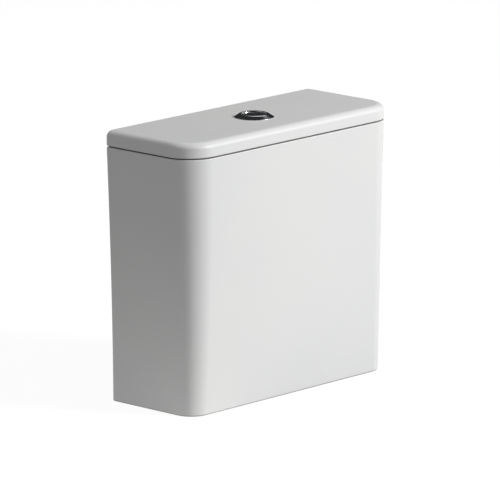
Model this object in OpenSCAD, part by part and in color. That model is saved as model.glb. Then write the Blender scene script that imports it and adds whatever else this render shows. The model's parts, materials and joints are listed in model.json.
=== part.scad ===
// Close-coupled toilet cistern of glazed china, with a dual flush button in the lid,
// a push-rod flush valve and a bottom-entry fill valve.
// Millimetres. +Z is up and the front faces -Y. The origin lies on the standing
// surface, under the middle of the tank.

/* [Tank] */
// Width over the rim
tank_w = 380; // [360:1:420]
// Depth over the rim, front to back
tank_d = 146; // [142:1:180]
// Height of the rim above the standing surface
tank_h = 326; // [310:1:380]
// How far each side of the foot lies inside the rim
side_taper = 9.5; // [0:0.5:15]
// How far the foot's front lies behind the rim's front
front_taper = 8; // [0:1:12]
// Radius of the front corners at the rim
corner_r = 40; // [30:1:50]
// Radius of the front corners at the foot
foot_corner_r = 26; // [22:1:40]
// Radius of the back corners
back_r = 4; // [3:0.5:8]
// Radius of the back corners inside the tank
inside_r = 9; // [6:0.5:14]
// Thickness of the china wall
wall_t = 10; // [8:0.5:12]
// Thickness of the china floor
floor_t = 12; // [9:0.5:16]
// Height of the hollow under the floor
recess_h = 28; // [27:1:40]
// How late the sides flare out towards the rim
side_flare = 1.7; // [1:0.1:2.5]
// How late the front flares out towards the rim
front_flare = 0.7; // [0.6:0.1:1.5]
// Rounding of the foot's edges
foot_edge_r = 2.5; // [1.5:0.5:3.5]
// Rounding of the rim's edges
rim_edge_r = 2; // [1:0.5:3]
// Rounding between the floor and the walls
floor_edge_r = 12; // [6:1:18]

/* [Lid] */
// Height of the lid's side
lid_h = 19.5; // [17:0.5:28]
// Thickness of the lid's top
lid_t = 9; // [7:0.5:11]
// Rounding of the lid's top edge at the front and sides
lid_edge_r = 9; // [5:0.5:12]
// Rounding of the lid's lower edge and of its back edge
lid_small_r = 1.5; // [1:0.5:2.5]
// Height of the shadow gap between the lid and the rim
seam_gap = 0.8; // [0.5:0.1:2]
// Width of the lid's seat on the rim
lid_seat_w = 5; // [4:0.5:6]
// Depth of the locating lip below the rim
lip_h = 5; // [3:0.5:8]
// Thickness of the locating lip
lip_t = 5; // [4:0.5:7]
// Gap between the locating lip and the tank wall
lip_gap = 1.5; // [1:0.1:3]

/* [Fixing holes] */
// Distance between the two coupling bolt holes in the floor
bolt_spacing = 150; // [140:1:170]
// Diameter of the coupling bolt holes
bolt_hole_d = 13; // [10:0.5:16]
// Distance between the two wall screw holes in the back
screw_spacing = 220; // [180:1:260]
// Diameter of the wall screw holes
screw_hole_d = 8; // [6:0.5:10]
// Distance of the wall screw holes below the rim
screw_drop = 46; // [36:1:70]

/* [Button set] */
// Diameter of the bezel
bezel_d = 51.2; // [50:0.2:56]
// Height of the bezel above the lid
bezel_h = 4.6; // [4:0.2:6]
// Height of the bezel's upright edge
bezel_edge_h = 0.6; // [0.4:0.1:1]
// Width of the bezel's crown
crown_w = 1.4; // [1.2:0.1:2]
// Width of the bevel from the crown into the well
crown_bevel = 0.8; // [0.4:0.1:1]
// Wall of the bezel's skirt
bezel_t = 1.2; // [1:0.1:1.5]
// Depth of the bezel's skirt below the lid's top
skirt_h = 4; // [3:0.5:6]
// Diameter of the well that holds the two buttons
well_d = 33.2; // [32:0.2:35]
// Wall of the housing's barrel
barrel_t = 1.4; // [1.2:0.1:2]
// Length of the barrel below the lid's top
barrel_h = 26; // [25:0.5:32]
// Thickness of the barrel's floor
barrel_floor_t = 2.5; // [2:0.5:4]
// Thickness of the housing's flange under the bezel
flange_t = 1; // [0.8:0.1:1.2]
// Width of the housing's flange
flange_w = 2.6; // [2:0.1:3]
// Thickness of the lock nut
locknut_t = 8; // [6:0.5:10]
// Width of the lock nut's ring
locknut_w = 6; // [4:0.5:9]
// Thickness of the buttons
button_t = 5; // [4:0.5:6]
// How far the buttons lie below the bezel's crown
button_drop = 1.6; // [1:0.1:2.5]
// Depth of the dish in the buttons
dish_h = 1.8; // [0.6:0.1:2.2]
// Radius of the curved split between the buttons
split_r = 20; // [18:0.5:30]
// Place of the split to the left of the middle
split_x = 2; // [1:0.5:2]
// Travel of the buttons
press_travel = 7; // [5:0.5:7]
// Distance between the two push rods
rod_spacing = 18; // [17:0.5:19]
// Diameter of the push rods
rod_d = 5; // [4:0.5:5]
// Wall of the boss that holds a push rod
boss_t = 1.4; // [1.2:0.1:1.6]
// Length of that boss
boss_h = 6; // [5:0.5:8]
// Diameter of the spring wire
wire_d = 1; // [0.8:0.1:1.1]
// Turns of a return spring
spring_turns = 6; // [4:1:8]

/* [Outlet] */
// Outside diameter of the threaded tail
tail_d = 59.6; // [57:0.2:61]
// Diameter of the outlet's bore
outlet_d = 50; // [46:0.5:51]
// Diameter of the seat's flange on the floor
seat_flange_d = 84; // [83:0.5:90]
// Thickness of that flange
seat_flange_t = 4; // [3:0.5:6]
// Height of the seat above the flange's underside
seat_h = 17; // [15:0.5:20]
// Wall of the seat's cup
cup_t = 8; // [7:0.5:9]
// Thickness of the rubber washers on the floor
washer_t = 3; // [2:0.5:4]
// Thickness of the outlet's backnut
outlet_nut_t = 13; // [10:0.5:14]
// How far the outlet backnut's lugs stay inside the seat's flange
nut_inset = 0.5; // [0:0.5:2]
// Length of the tail below its backnut
tail_reach = 7; // [4:0.5:8]
// Diameter of the pan seal
pan_seal_d = 100; // [96:1:102]
// Height of the pan seal
pan_seal_h = 22; // [19:0.5:24]
// Distance between the pan seal and the front wall of the hollow under the floor
seal_clear = 3; // [2:0.5:9]

/* [Flush valve] */
// Wall of the cage's ring and legs
cage_t = 3.1; // [2.5:0.1:3.5]
// Height of the cage's ring
cage_ring_h = 12; // [11:0.5:14]
// Number of the cage's legs
leg_count = 6; // [5:1:8]
// Width of the cage's legs
leg_w = 8; // [6:0.5:12]
// Height of the cage's windows
window_h = 38; // [32:1:50]
// Height of the cage's sloping shoulder
shoulder_h = 15; // [12:1:24]
// Diameter of the overflow tube
tube_d = 30; // [28:0.5:32]
// Wall of the overflow tube
tube_t = 2; // [1.5:0.1:2.5]
// Space between the overflow tube and its sleeve
tube_space = 2.5; // [2:0.1:3]
// Wall of the sleeve
sleeve_t = 2.5; // [2:0.1:3]
// Thickness of the flush seal
seal_t = 3; // [2:0.5:4]
// Overhang of the flush seal beyond the seat's lip
seal_lap = 4; // [3:0.5:4.5]
// Thickness of the seal carrier
carrier_t = 4; // [3:0.5:6]
// Length of the guide fins below the seal
fin_h = 18; // [14:1:22]
// Distance from the rim down to the plungers' tops
pad_drop = 30; // [26:0.5:40]
// Thickness of the plungers' pads
pad_t = 4; // [3:0.5:5]
// Radius of the plungers' round pads
pad_r = 13.5; // [11:0.5:14]
// Arm of the levers towards the tube
inner_arm = 14; // [13:0.5:16]
// Arm of the levers towards the plungers
outer_arm = 12; // [11:0.5:13]
// Width of the levers
lever_w = 8; // [7:0.5:10]
// Diameter of the lever pins
pin_d = 4; // [3.5:0.5:4.5]
// Thickness of the valve head's cheeks
cheek_t = 2.5; // [2:0.5:3]
// Thickness of the valve head's plate and of the bridge
plate_t = 3.5; // [3:0.5:4.5]
// Thickness of the half-flush float's strap
strap_t = 2.5; // [2:0.5:3]
// Width of that strap
strap_w = 10; // [8:0.5:12]
// Width of the half-flush float
half_float_w = 46; // [36:1:52]
// Depth of the half-flush float away from the tube
half_float_d = 32; // [24:1:36]
// Height of the half-flush float
half_float_h = 50; // [36:1:52]

/* [Fill valve] */
// Distance of the fill valve from the side of the foot
fill_inset = 52.5; // [49:0.5:60]
// Place of the fill valve, front to back
fill_y = 4; // [0:0.5:8]
// Outside diameter of the threaded shank
shank_d = 20.96; // [19:0.02:21.5]
// Bore of the shank and the riser
riser_bore_d = 13; // [11:0.5:13.5]
// Outside diameter of the riser
riser_d = 19; // [17.5:0.5:20]
// Diameter of the riser's flange on the floor
fill_flange_d = 38; // [36:0.5:42]
// Height of the shank's end above the standing surface
shank_clear = 3; // [2.5:0.5:6]
// Thickness of the fill valve's backnut
fill_nut_t = 8; // [6:0.5:10]
// Width of that backnut across its corners
fill_nut_w = 36; // [32:0.5:40]
// Wall of the filling sleeve
fill_sleeve_t = 2.5; // [2:0.1:3]
// Gap between the riser and the filling sleeve
fill_sleeve_gap = 2; // [1.5:0.1:2.5]
// Distance from the rim down to the fill valve's cap
cap_drop = 42; // [38:0.5:60]
// Height of the cap
cap_h = 12; // [10:0.5:15]
// Diameter of the fill valve's head
fill_head_d = 40; // [38:0.5:42]
// Height of the fill valve's head
fill_head_h = 32; // [28:0.5:40]
// Thickness of the diaphragm
diaphragm_t = 3; // [2:0.5:4]
// Outside diameter of the fill float
fill_float_d = 68; // [66:1:74]
// Height of the fill float
fill_float_h = 56; // [44:1:64]
// Rise of the fill float from an empty tank to a full one
float_rise = 14; // [10:0.5:15]
// Arm of the fill lever towards its link rod
link_arm = 22; // [21:0.5:24]
// Arm of the fill lever towards the cap's pilot
pilot_arm = 9; // [7:0.5:10]
// Diameter of the link rod
link_d = 4; // [3:0.5:4.5]

/* [Clearances] */
// Gap between pieces that slide or rest on each other
slide_gap = 0.3; // [0.2:0.05:0.4]
// Gap around a threaded or pushed-in piece
thread_gap = 0.2; // [0.1:0.05:0.3]
// Gap between a pin and the bore that turns on it
pin_gap = 0.08; // [0.03:0.01:0.1]
// Gap around the tail and the shank in the china floor
floor_hole_gap = 2; // [1:0.1:3]

/* [Hidden] */
$fn = 72;

// Steps along a quarter of a front corner, of a back corner and of an edge's rounding
corner_steps = 12;
back_steps = 3;
edge_steps = 4;
// Levels along the flared walls
wall_levels = 6;
// A little more than nothing, for cuts that pass a face
past = 1;
// How far a fused detail sinks into the piece that carries it
sink = 0.5;

// Sizes of the foot and heights of the china
foot_w = tank_w - side_taper * 2;
foot_d = tank_d - front_taper;
floor_z = recess_h + floor_t;
lid_base = tank_h + seam_gap;
lid_top = lid_base + lid_h;
lid_ceiling = lid_top - lid_t;

// Button set
well_r = well_d / 2;
barrel_r = well_r + bezel_t + thread_gap + barrel_t;
lid_hole_r = barrel_r + thread_gap * 2;
button_r = well_r - slide_gap;
button_top = lid_top + bezel_h - button_drop;
button_base = button_top - button_t;
barrel_base = lid_top - barrel_h;
barrel_floor = barrel_base + barrel_floor_t;
rod_r = rod_d / 2;
boss_r = rod_r + boss_t;
spring_r = boss_r + slide_gap + wire_d;
spring_base = barrel_floor + slide_gap;
spring_h = button_base - slide_gap - spring_base;
dish_r = (button_r * button_r + dish_h * dish_h) / (2 * dish_h);

// Outlet, and the place of the flush valve and the buttons from front to back
valve_y = tank_d / 2 - foot_d + wall_t + seal_clear + pan_seal_d / 2;
tail_r = tail_d / 2;
outlet_r = outlet_d / 2;
seat_base = floor_z + washer_t;
seat_flange_top = seat_base + seat_flange_t;
seat_top = seat_base + seat_h;
cup_r = outlet_r + cup_t;
seat_lip_w = 3;
seat_lip_h = 2;
nut_base = recess_h - outlet_nut_t;
tail_base = nut_base - tail_reach;
lug_count = 8;
lug_h = 3.5;
lug_w = 9;
nut_r = seat_flange_d / 2 - nut_inset - lug_h;
locknut_lug_h = 2.5;
locknut_lug_w = 5;
nut_collar_t = 2;
seal_recess_r = nut_r + lug_h + slide_gap * 3;
seal_base = nut_base - (pan_seal_h - outlet_nut_t) - slide_gap;

// Flush tube and its seal
tube_r = tube_d / 2;
fit_r = tube_r + thread_gap;
seal_r = outlet_r + seat_lip_w + seal_lap;
seal_z = seat_top + slide_gap;
carrier_z = seal_z + seal_t;
clamp_t = 4;
clamp_r = outlet_r - 2;
fin_t = 2.5;
tube_base = seal_z - clamp_t - 4;

// Levers, worked out from the plungers down
half_sweep = asin(press_travel / 2 / outer_arm);
tube_lift = press_travel * inner_arm / outer_arm;
tip_r = 2;
heel_r = 2.5;
arm_t = 1.7;
pad_top = tank_h - pad_drop;
pad_base = pad_top - pad_t;
bridge_top = pad_base - press_travel - 2;
bridge_base = bridge_top - plate_t;
tube_top = bridge_base - tube_lift - 2;
collar_t = 4;
collar_base = tube_top - collar_t - 5;
tip_z = collar_base - slide_gap - tip_r;
pivot_z = tip_z + inner_arm * sin(half_sweep);
heel_z = pivot_z + outer_arm * sin(half_sweep);
leg_base = heel_z + heel_r + slide_gap;
hub_r = pin_d / 2 + 3;
head_top = pivot_z - hub_r - 3;
head_base = head_top - plate_t;

// Sleeve, strap and pivots, worked out from the tube's axis outwards
sleeve_r = tube_r + tube_space;
sleeve_out_r = sleeve_r + sleeve_t;
socket_h = 12;
socket_r = sleeve_out_r + thread_gap + 3;
strap_x = sleeve_out_r + 2;
strap_out = strap_x + strap_t;
tip_x = strap_out + tip_r + 1.5;
hook_out = tip_x + tip_r + 2;
pivot_x = tip_x + inner_arm;
cheek_in = hook_out + 1.5;
plunger_leg_t = 6;
plunger_leg_x = pivot_x + outer_arm * (1 + cos(half_sweep)) / 2;
cheek_out = plunger_leg_x + plunger_leg_t / 2 + 4;
cheek_gap = lever_w / 2 + slide_gap * 2;
pad_x = pad_r + 2.5;

// Cage and tower
cage_r = cup_r + slide_gap + 3;
cage_out_r = cage_r + cage_t;
ring_top = seat_flange_top + cage_ring_h;
window_top = ring_top + window_h;
shoulder_top = window_top + shoulder_h;
bayonet_lugs = 3;
bayonet_h = 4;
bayonet_w = 10;
bayonet_z = seat_flange_top + 4;
guide_t = 8;
guide_wall = 3;
guide_rise = 6;
guide_drop = 4;
lower_guide_z = shoulder_top + guide_rise;
upper_guide_z = head_base - socket_h - guide_t - guide_drop;
strap_tail = 5;
strap_base = lower_guide_z - strap_tail;
notch_h = 3;
notch_pitch = 6;
notch_count = 3;
half_float_z = upper_guide_z - notch_pitch * notch_count - notch_h - half_float_h;

// Fill valve
fill_x = fill_inset - foot_w / 2;
shank_r = shank_d / 2;
riser_r = riser_d / 2;
riser_bore_r = riser_bore_d / 2;
fill_flange_top = floor_z + washer_t + 4;
fill_nut_base = recess_h - fill_nut_t;
fill_sleeve_r = riser_r + fill_sleeve_gap;
fill_sleeve_out_r = fill_sleeve_r + fill_sleeve_t;
cap_top = tank_h - cap_drop;
cap_base = cap_top - cap_h;
fill_head_base = cap_base - fill_head_h;
fill_head_r = fill_head_d / 2;
cap_r = fill_head_r + 1.5;
diaphragm_r = fill_head_r - 4;
float_sweep = asin(float_rise / 2 / link_arm);
fill_arm_t = 5;
fill_pivot_x = -7;
fill_arm_half = fill_arm_t / 2 / cos(float_sweep);
fill_pivot_z = cap_top + (cap_r + fill_pivot_x) * tan(float_sweep) + fill_arm_half + 1;
fill_pin_r = 1.5;
fill_hub_r = fill_pin_r + 2.5;
fill_lever_w = 9;
ear_t = 2.5;
ear_gap = fill_lever_w / 2 + slide_gap;
ear_top = fill_pivot_z + fill_hub_r;
pilot_h = 2;
link_r = link_d / 2;
link_drift = link_arm * (1 - cos(float_sweep)) / 2;
link_x = fill_pivot_x - link_arm + link_drift;
link_z = fill_pivot_z - float_rise / 2;
knob_r = 4.5;
knob_gap = fill_arm_half + (knob_r + link_drift) * tan(float_sweep) + slide_gap;
knob_h = 6;
fill_float_top = fill_head_base - float_rise - 2;
fill_float_base = fill_float_top - fill_float_h;
fill_float_r = fill_sleeve_out_r + slide_gap * 2;
link_depth = 14;

// Colours of the materials
china = [0.93, 0.93, 0.92];
chrome = [0.75, 0.76, 0.78];
white_plastic = [0.90, 0.90, 0.88];
grey_plastic = [0.62, 0.64, 0.66];
blue_plastic = [0.16, 0.36, 0.68];
black_rubber = [0.12, 0.12, 0.12];
red_silicone = [0.70, 0.16, 0.12];
steel = [0.66, 0.67, 0.68];

// Points along an arc in a plane, from one angle to another
function arc(cx, cy, r, from, to, steps) = [
    for (i = [0:steps]) let (a = from + (to - from) * i / steps) [cx + r * cos(a), cy + r * sin(a)]
];

// A rounded rectangle around the middle
function rounded(w, d, r) = concat(
    arc(w / 2 - r, d / 2 - r, r, 0, 90, edge_steps),
    arc(r - w / 2, d / 2 - r, r, 90, 180, edge_steps),
    arc(r - w / 2, r - d / 2, r, 180, 270, edge_steps),
    arc(w / 2 - r, r - d / 2, r, 270, 360, edge_steps));

// One level of the china: straight at the back, wide corners at the front
function level(half_w, front, back, front_r, rear_r, z) = [
    for (p = concat(
        arc(rear_r - half_w, back - rear_r, rear_r, 90, 180, back_steps),
        arc(front_r - half_w, front + front_r, front_r, 180, 270, corner_steps),
        arc(half_w - front_r, front + front_r, front_r, 270, 360, corner_steps),
        arc(half_w - rear_r, back - rear_r, rear_r, 0, 90, back_steps)))
    [p.x, p.y, z]
];

// Sizes of the flared tank at a height
function half_width(z) = (foot_w + (tank_w - foot_w) * pow(z / tank_h, side_flare)) / 2;
function depth(z) = foot_d + (tank_d - foot_d) * pow(z / tank_h, front_flare);
function front_corner(z) = foot_corner_r + (corner_r - foot_corner_r) * z / tank_h;
function back_corner(inset) = inset < wall_t ? max(back_r - inset, 1) : inside_r;

// The tank's outline at a height, moved inwards by an inset
function tank_level(inset, z) = level(
    half_width(z) - inset,
    tank_d / 2 - depth(z) + inset,
    tank_d / 2 - inset,
    max(front_corner(z) - inset, 4),
    back_corner(inset),
    z);

// The lid's outline at a height, with its own inset at the straight back
function lid_level(inset, back_inset, z) = level(
    tank_w / 2 - inset,
    inset - tank_d / 2,
    tank_d / 2 - back_inset,
    max(corner_r - inset, 4),
    back_corner(back_inset),
    z);

// The china's wall section, as pairs of inset and height, from under the floor
// round the foot and the rim to the top of the floor
recess_r = foot_edge_r * 2;
function tank_section() = concat(
    arc(wall_t + recess_r, recess_h - recess_r, recess_r, 90, 180, edge_steps),
    arc(wall_t - foot_edge_r, foot_edge_r, foot_edge_r, 0, -90, edge_steps),
    arc(foot_edge_r, foot_edge_r, foot_edge_r, -90, -180, edge_steps),
    [for (i = [1:wall_levels - 1]) [0, tank_h * i / wall_levels]],
    arc(rim_edge_r, tank_h - rim_edge_r, rim_edge_r, 180, 90, edge_steps),
    arc(wall_t - rim_edge_r, tank_h - rim_edge_r, rim_edge_r, 90, 0, edge_steps),
    [for (i = [wall_levels - 1:-1:2]) [wall_t, tank_h * i / wall_levels]],
    arc(wall_t + floor_edge_r, floor_z + floor_edge_r, floor_edge_r, 180, 270, edge_steps));

// The lid's section, as inset, back inset and height, from under its top to its top
lip_out = wall_t + lip_gap;
lip_in = lip_out + lip_t;
lid_seat_in = lip_out - lid_seat_w;
under_r = lid_small_r * 2;
function lid_section() = concat(
    [for (p = arc(lip_in + under_r, lid_ceiling - under_r, under_r, 90, 180, edge_steps)) [p.x, p.x, p.y]],
    [[lip_in, lip_in, tank_h - lip_h], [lip_out, lip_out, tank_h - lip_h], [lip_out, lip_out, tank_h]],
    [[lid_seat_in, lid_seat_in, tank_h], [lid_seat_in, lid_seat_in, lid_base]],
    [for (p = arc(lid_small_r, lid_base + lid_small_r, lid_small_r, -90, -180, edge_steps)) [p.x, p.x, p.y]],
    [for (i = [0:edge_steps * 2])
        let (a = 90 * i / (edge_steps * 2))
        [lid_edge_r * (1 - cos(a)), lid_small_r * (1 - cos(a)), lid_top - lid_edge_r * (1 - sin(a))]]);

// A solid through a list of levels with equal counts of points, bottom face first
module loft(levels) {
    n = len(levels[0]);
    last = len(levels) - 1;
    points = [for (ring = levels) each ring];
    sides = [
        for (k = [0:last - 1], i = [0:n - 1])
            let (a = k * n + i, b = k * n + (i + 1) % n)
            each [[a, a + n, b + n], [a, b + n, b]]
    ];
    bottom = [for (i = [0:n - 1]) i];
    top = [for (i = [n - 1:-1:0]) last * n + i];
    polyhedron(points, concat([bottom], sides, [top]));
}

// A ring around the local axis
module ring(inner_r, outer_r, base, top) {
    rotate_extrude()
        translate([inner_r, base])
            square([outer_r - inner_r, top - base]);
}

// A box around the local axis, from one height to another
module slab(w, d, base, top) {
    translate([-w / 2, -d / 2, base])
        cube([w, d, top - base]);
}

// A round rod along Y, centred on the local plane
module cross_rod(r, length) {
    rotate([90, 0, 0])
        cylinder(r = r, h = length, center = true);
}

// Lugs standing out of a ring, for gripping by hand
module grip_lugs(count, r, reach, w, base, top) {
    for (i = [0:count - 1])
        rotate(360 * i / count)
            translate([r - sink, -w / 2, base])
                cube([reach + sink, w, top - base]);
}

// Places of the flush valve and of the fill valve
module at_valve() {
    translate([0, valve_y, 0])
        children();
}

module at_fill() {
    translate([fill_x, fill_y, 0])
        children();
}

module tank() {
    color(china)
        difference() {
            loft([for (p = tank_section()) tank_level(p.x, p.y)]);
            at_valve() {
                translate([0, 0, recess_h - past])
                    cylinder(r = tail_r + floor_hole_gap, h = floor_t + past * 2);
                for (side = [-1, 1])
                    translate([side * bolt_spacing / 2, 0, recess_h - past])
                        cylinder(d = bolt_hole_d, h = floor_t + past * 2);
            }
            at_fill()
                translate([0, 0, recess_h - past])
                    cylinder(r = shank_r + floor_hole_gap, h = floor_t + past * 2);
            for (side = [-1, 1])
                translate([side * screw_spacing / 2, tank_d / 2 - wall_t / 2, tank_h - screw_drop])
                    cross_rod(screw_hole_d / 2, wall_t + past * 2);
        }
}

module lid() {
    color(china)
        difference() {
            loft([for (p = lid_section()) lid_level(p.x, p.y, p.z)]);
            at_valve()
                translate([0, 0, lid_ceiling - past])
                    cylinder(r = lid_hole_r, h = lid_t + past * 2);
        }
}

// The bezel's section: a conical shell with a bevelled crown and a skirt round the well
module button_bezel() {
    bezel_r = bezel_d / 2;
    shell_r = barrel_r + flange_w + thread_gap;
    shell_top = flange_t + thread_gap;
    skirt_r = well_r + bezel_t;
    color(chrome)
        at_valve()
            translate([0, 0, lid_top])
                rotate_extrude()
                    polygon([
                        [shell_r, 0], [bezel_r, 0], [bezel_r, bezel_edge_h],
                        [well_r + crown_w, bezel_h], [well_r + crown_bevel, bezel_h],
                        [well_r, bezel_h - crown_bevel], [well_r, -skirt_h],
                        [skirt_r, -skirt_h], [skirt_r, shell_top], [shell_r, shell_top]]);
}

module button_housing() {
    color(grey_plastic)
        at_valve()
            difference() {
                union() {
                    ring(barrel_r - barrel_t, barrel_r + flange_w, lid_top, lid_top + flange_t);
                    ring(barrel_r - barrel_t, barrel_r, barrel_floor, lid_top);
                    translate([0, 0, barrel_base])
                        cylinder(r = barrel_r, h = barrel_floor_t);
                }
                for (side = [-1, 1])
                    translate([side * rod_spacing / 2, 0, barrel_base - past])
                        cylinder(r = rod_r + slide_gap, h = barrel_floor_t + past * 2);
            }
}

module button_locknut() {
    inner_r = barrel_r + thread_gap;
    outer_r = inner_r + locknut_w;
    base = lid_ceiling - locknut_t;
    color(white_plastic)
        at_valve() {
            ring(inner_r, outer_r, base, lid_ceiling);
            grip_lugs(lug_count, outer_r, locknut_lug_h, locknut_lug_w, base, lid_ceiling - nut_collar_t);
        }
}

// The disc that both buttons are cut from, with its shallow dish
module button_disc() {
    dish_angle = asin(button_r / dish_r);
    rotate_extrude()
        polygon(concat(
            [[0, button_base], [button_r, button_base]],
            [for (p = arc(0, button_top - dish_h + dish_r, dish_r, 270 + dish_angle, 270, edge_steps * 2))
                [max(p.x, 0), p.y]]));
}

// The boss under a button, bored for its push rod
module button_boss(side) {
    translate([side * rod_spacing / 2, 0, button_base - boss_h])
        difference() {
            cylinder(r = boss_r, h = boss_h + sink);
            translate([0, 0, -past])
                cylinder(r = rod_r + thread_gap / 2, h = boss_h + past);
        }
}

// The curved split, as a cylinder to the left of the middle
module split(r) {
    translate([-split_x - split_r, 0, button_base - past])
        cylinder(r = r, h = button_t + past * 2);
}

module full_flush_button() {
    color(chrome)
        at_valve() {
            difference() {
                button_disc();
                split(split_r + slide_gap);
            }
            button_boss(1);
        }
}

module half_flush_button() {
    color(chrome)
        at_valve() {
            intersection() {
                button_disc();
                split(split_r - slide_gap);
            }
            button_boss(-1);
        }
}

module push_rod(side) {
    base = pad_top + slide_gap;
    color(white_plastic)
        at_valve()
            translate([side * rod_spacing / 2, 0, 0]) {
                translate([0, 0, base + rod_r])
                    cylinder(r = rod_r, h = button_base - base - rod_r);
                translate([0, 0, base])
                    cylinder(r1 = rod_r * 0.6, r2 = rod_r, h = rod_r);
            }
}

module full_push_rod() {
    push_rod(1);
}

module half_push_rod() {
    push_rod(-1);
}

// A return spring: one unbroken helix of round wire with its ends cut off square
wire_sides = 6;
rings_per_turn = 8;
spring_pitch = (spring_h - wire_d) / spring_turns;
function spring_ring(i) =
    let (
        a = 360 * i / rings_per_turn,
        climb = atan(spring_pitch / (2 * PI * spring_r)),
        mid = [spring_r * cos(a), spring_r * sin(a), wire_d / 2 + spring_pitch * i / rings_per_turn],
        out = [cos(a), sin(a), 0],
        up = [sin(a) * sin(climb), -cos(a) * sin(climb), cos(climb)])
    [for (s = [wire_sides - 1:-1:0])
        let (b = 360 * s / wire_sides)
        mid + wire_d / 2 * (out * cos(b) + up * sin(b))];

module button_spring(side) {
    color(steel)
        at_valve()
            translate([side * rod_spacing / 2, 0, spring_base])
                loft([for (i = [0:spring_turns * rings_per_turn]) spring_ring(i)]);
}

// The least gap between two turns of a spring, over points on the wire's middle line
function spring_mid(i) = [
    spring_r * cos(360 * i / rings_per_turn),
    spring_r * sin(360 * i / rings_per_turn),
    spring_pitch * i / rings_per_turn
];
spring_gap = min([
    for (i = [0:rings_per_turn * spring_turns])
        for (j = [i + rings_per_turn / 2:rings_per_turn * spring_turns])
            norm(spring_mid(i) - spring_mid(j))
]) - wire_d;
echo(least_gap_between_spring_turns = spring_gap);

module full_button_spring() {
    button_spring(1);
}

module half_button_spring() {
    button_spring(-1);
}

// The seat: threaded tail, flange on the floor, cup with bayonet lugs and a raised lip
module outlet_seat() {
    color(white_plastic)
        at_valve() {
            rotate_extrude()
                polygon([
                    [outlet_r, tail_base], [tail_r, tail_base], [tail_r, seat_base],
                    [seat_flange_d / 2, seat_base], [seat_flange_d / 2, seat_flange_top],
                    [cup_r, seat_flange_top], [cup_r, seat_top - seat_lip_h],
                    [outlet_r + seat_lip_w, seat_top - seat_lip_h], [outlet_r + seat_lip_w * 0.7, seat_top],
                    [outlet_r + seat_lip_w * 0.3, seat_top], [outlet_r, seat_top - seat_lip_h]
                ]);
            for (i = [0:bayonet_lugs - 1])
                rotate(90 + 360 * i / bayonet_lugs)
                    translate([cup_r - sink, -bayonet_w / 2, bayonet_z + slide_gap])
                        cube([cage_out_r - cup_r, bayonet_w, bayonet_h - slide_gap * 2]);
        }
}

module outlet_washer() {
    color(black_rubber)
        at_valve()
            ring(tail_r + thread_gap * 2, seat_flange_d / 2 - 1, floor_z, seat_base);
}

module outlet_backnut() {
    color(white_plastic)
        at_valve() {
            ring(tail_r + thread_gap, nut_r, nut_base, recess_h);
            grip_lugs(lug_count, nut_r, lug_h, lug_w, nut_base, recess_h - nut_collar_t);
        }
}

// The rubber ring that fits over the backnut and seals against the pan
module pan_seal() {
    bevel = 3;
    top = seal_base + pan_seal_h;
    out = pan_seal_d / 2;
    color(black_rubber)
        at_valve()
            rotate_extrude()
                polygon([
                    [tail_r + thread_gap * 2, seal_base], [out - bevel, seal_base],
                    [out, seal_base + bevel], [out, top - bevel], [out - bevel, top],
                    [seal_recess_r, top], [seal_recess_r, nut_base - slide_gap],
                    [tail_r + thread_gap * 2, nut_base - slide_gap]
                ]);
}

// A guide on the sleeve that the half-flush strap slides through
module strap_guide(base) {
    difference() {
        translate([-strap_out - guide_wall, -strap_w / 2 - guide_wall, base])
            cube([strap_out + guide_wall - sleeve_r - sink, strap_w + guide_wall * 2, guide_t]);
        translate([-strap_out - slide_gap, -strap_w / 2 - slide_gap, base - past])
            cube([strap_t + slide_gap * 2, strap_w + slide_gap * 2, guide_t + past * 2]);
    }
}

// The tower: bayonet ring, cage of legs, sloping shoulder and slotted sleeve
module valve_tower() {
    slot_w = 10;
    slot_margin = 18;
    slot_h = upper_guide_z - shoulder_top - slot_margin * 2;
    nose_r = tube_r + slide_gap * 2;
    nose_h = 6;
    color(white_plastic)
        at_valve() {
            difference() {
                union() {
                    rotate_extrude()
                        polygon([
                            [cage_r, seat_flange_top], [cage_out_r, seat_flange_top],
                            [cage_out_r, window_top + 3], [sleeve_out_r, shoulder_top],
                            [sleeve_out_r, head_base], [nose_r, head_base],
                            [nose_r, head_base - nose_h], [sleeve_r, head_base - nose_h - tube_space],
                            [sleeve_r, shoulder_top - 3], [cage_r, window_top]
                        ]);
                    strap_guide(lower_guide_z);
                    strap_guide(upper_guide_z);
                }
                for (i = [0:leg_count - 1])
                    rotate(180 / leg_count + 360 * i / leg_count)
                        cage_window();
                for (i = [0:bayonet_lugs - 1])
                    rotate(90 + 360 * i / bayonet_lugs)
                        translate([cup_r, -bayonet_w / 2 - slide_gap, bayonet_z])
                            cube([cage_out_r - cup_r + past, bayonet_w + slide_gap * 2, bayonet_h]);
                for (turn = [-90, 0, 90])
                    rotate(turn)
                        translate([sleeve_r - past, -slot_w / 2, shoulder_top + slot_margin])
                            cube([sleeve_t + past * 2, slot_w, slot_h]);
            }
        }
}

// One window of the cage, as wide as the legs leave it
module cage_window() {
    opening = 360 / leg_count - 2 * asin(leg_w / 2 / cage_out_r);
    rotate([0, 0, -opening / 2])
        rotate_extrude(angle = opening)
            translate([cage_r - past, ring_top])
                square([cage_t + past * 2, window_h - 1]);
}

// The head: socket on the sleeve, plate, and two pairs of cheeks for the levers
module valve_head() {
    color(grey_plastic)
        at_valve()
            difference() {
                union() {
                    ring(sleeve_out_r + thread_gap, socket_r, head_base - socket_h, head_base);
                    ring(sleeve_r, socket_r, head_base, head_top);
                    for (side = [-1, 1])
                        head_side(side);
                }
                for (side = [-1, 1])
                    translate([side * pivot_x, 0, pivot_z])
                        cross_rod(pin_d / 2 + pin_gap / 2, (cheek_gap + cheek_t) * 2 + past);
                strap_slot();
            }
}

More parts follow.
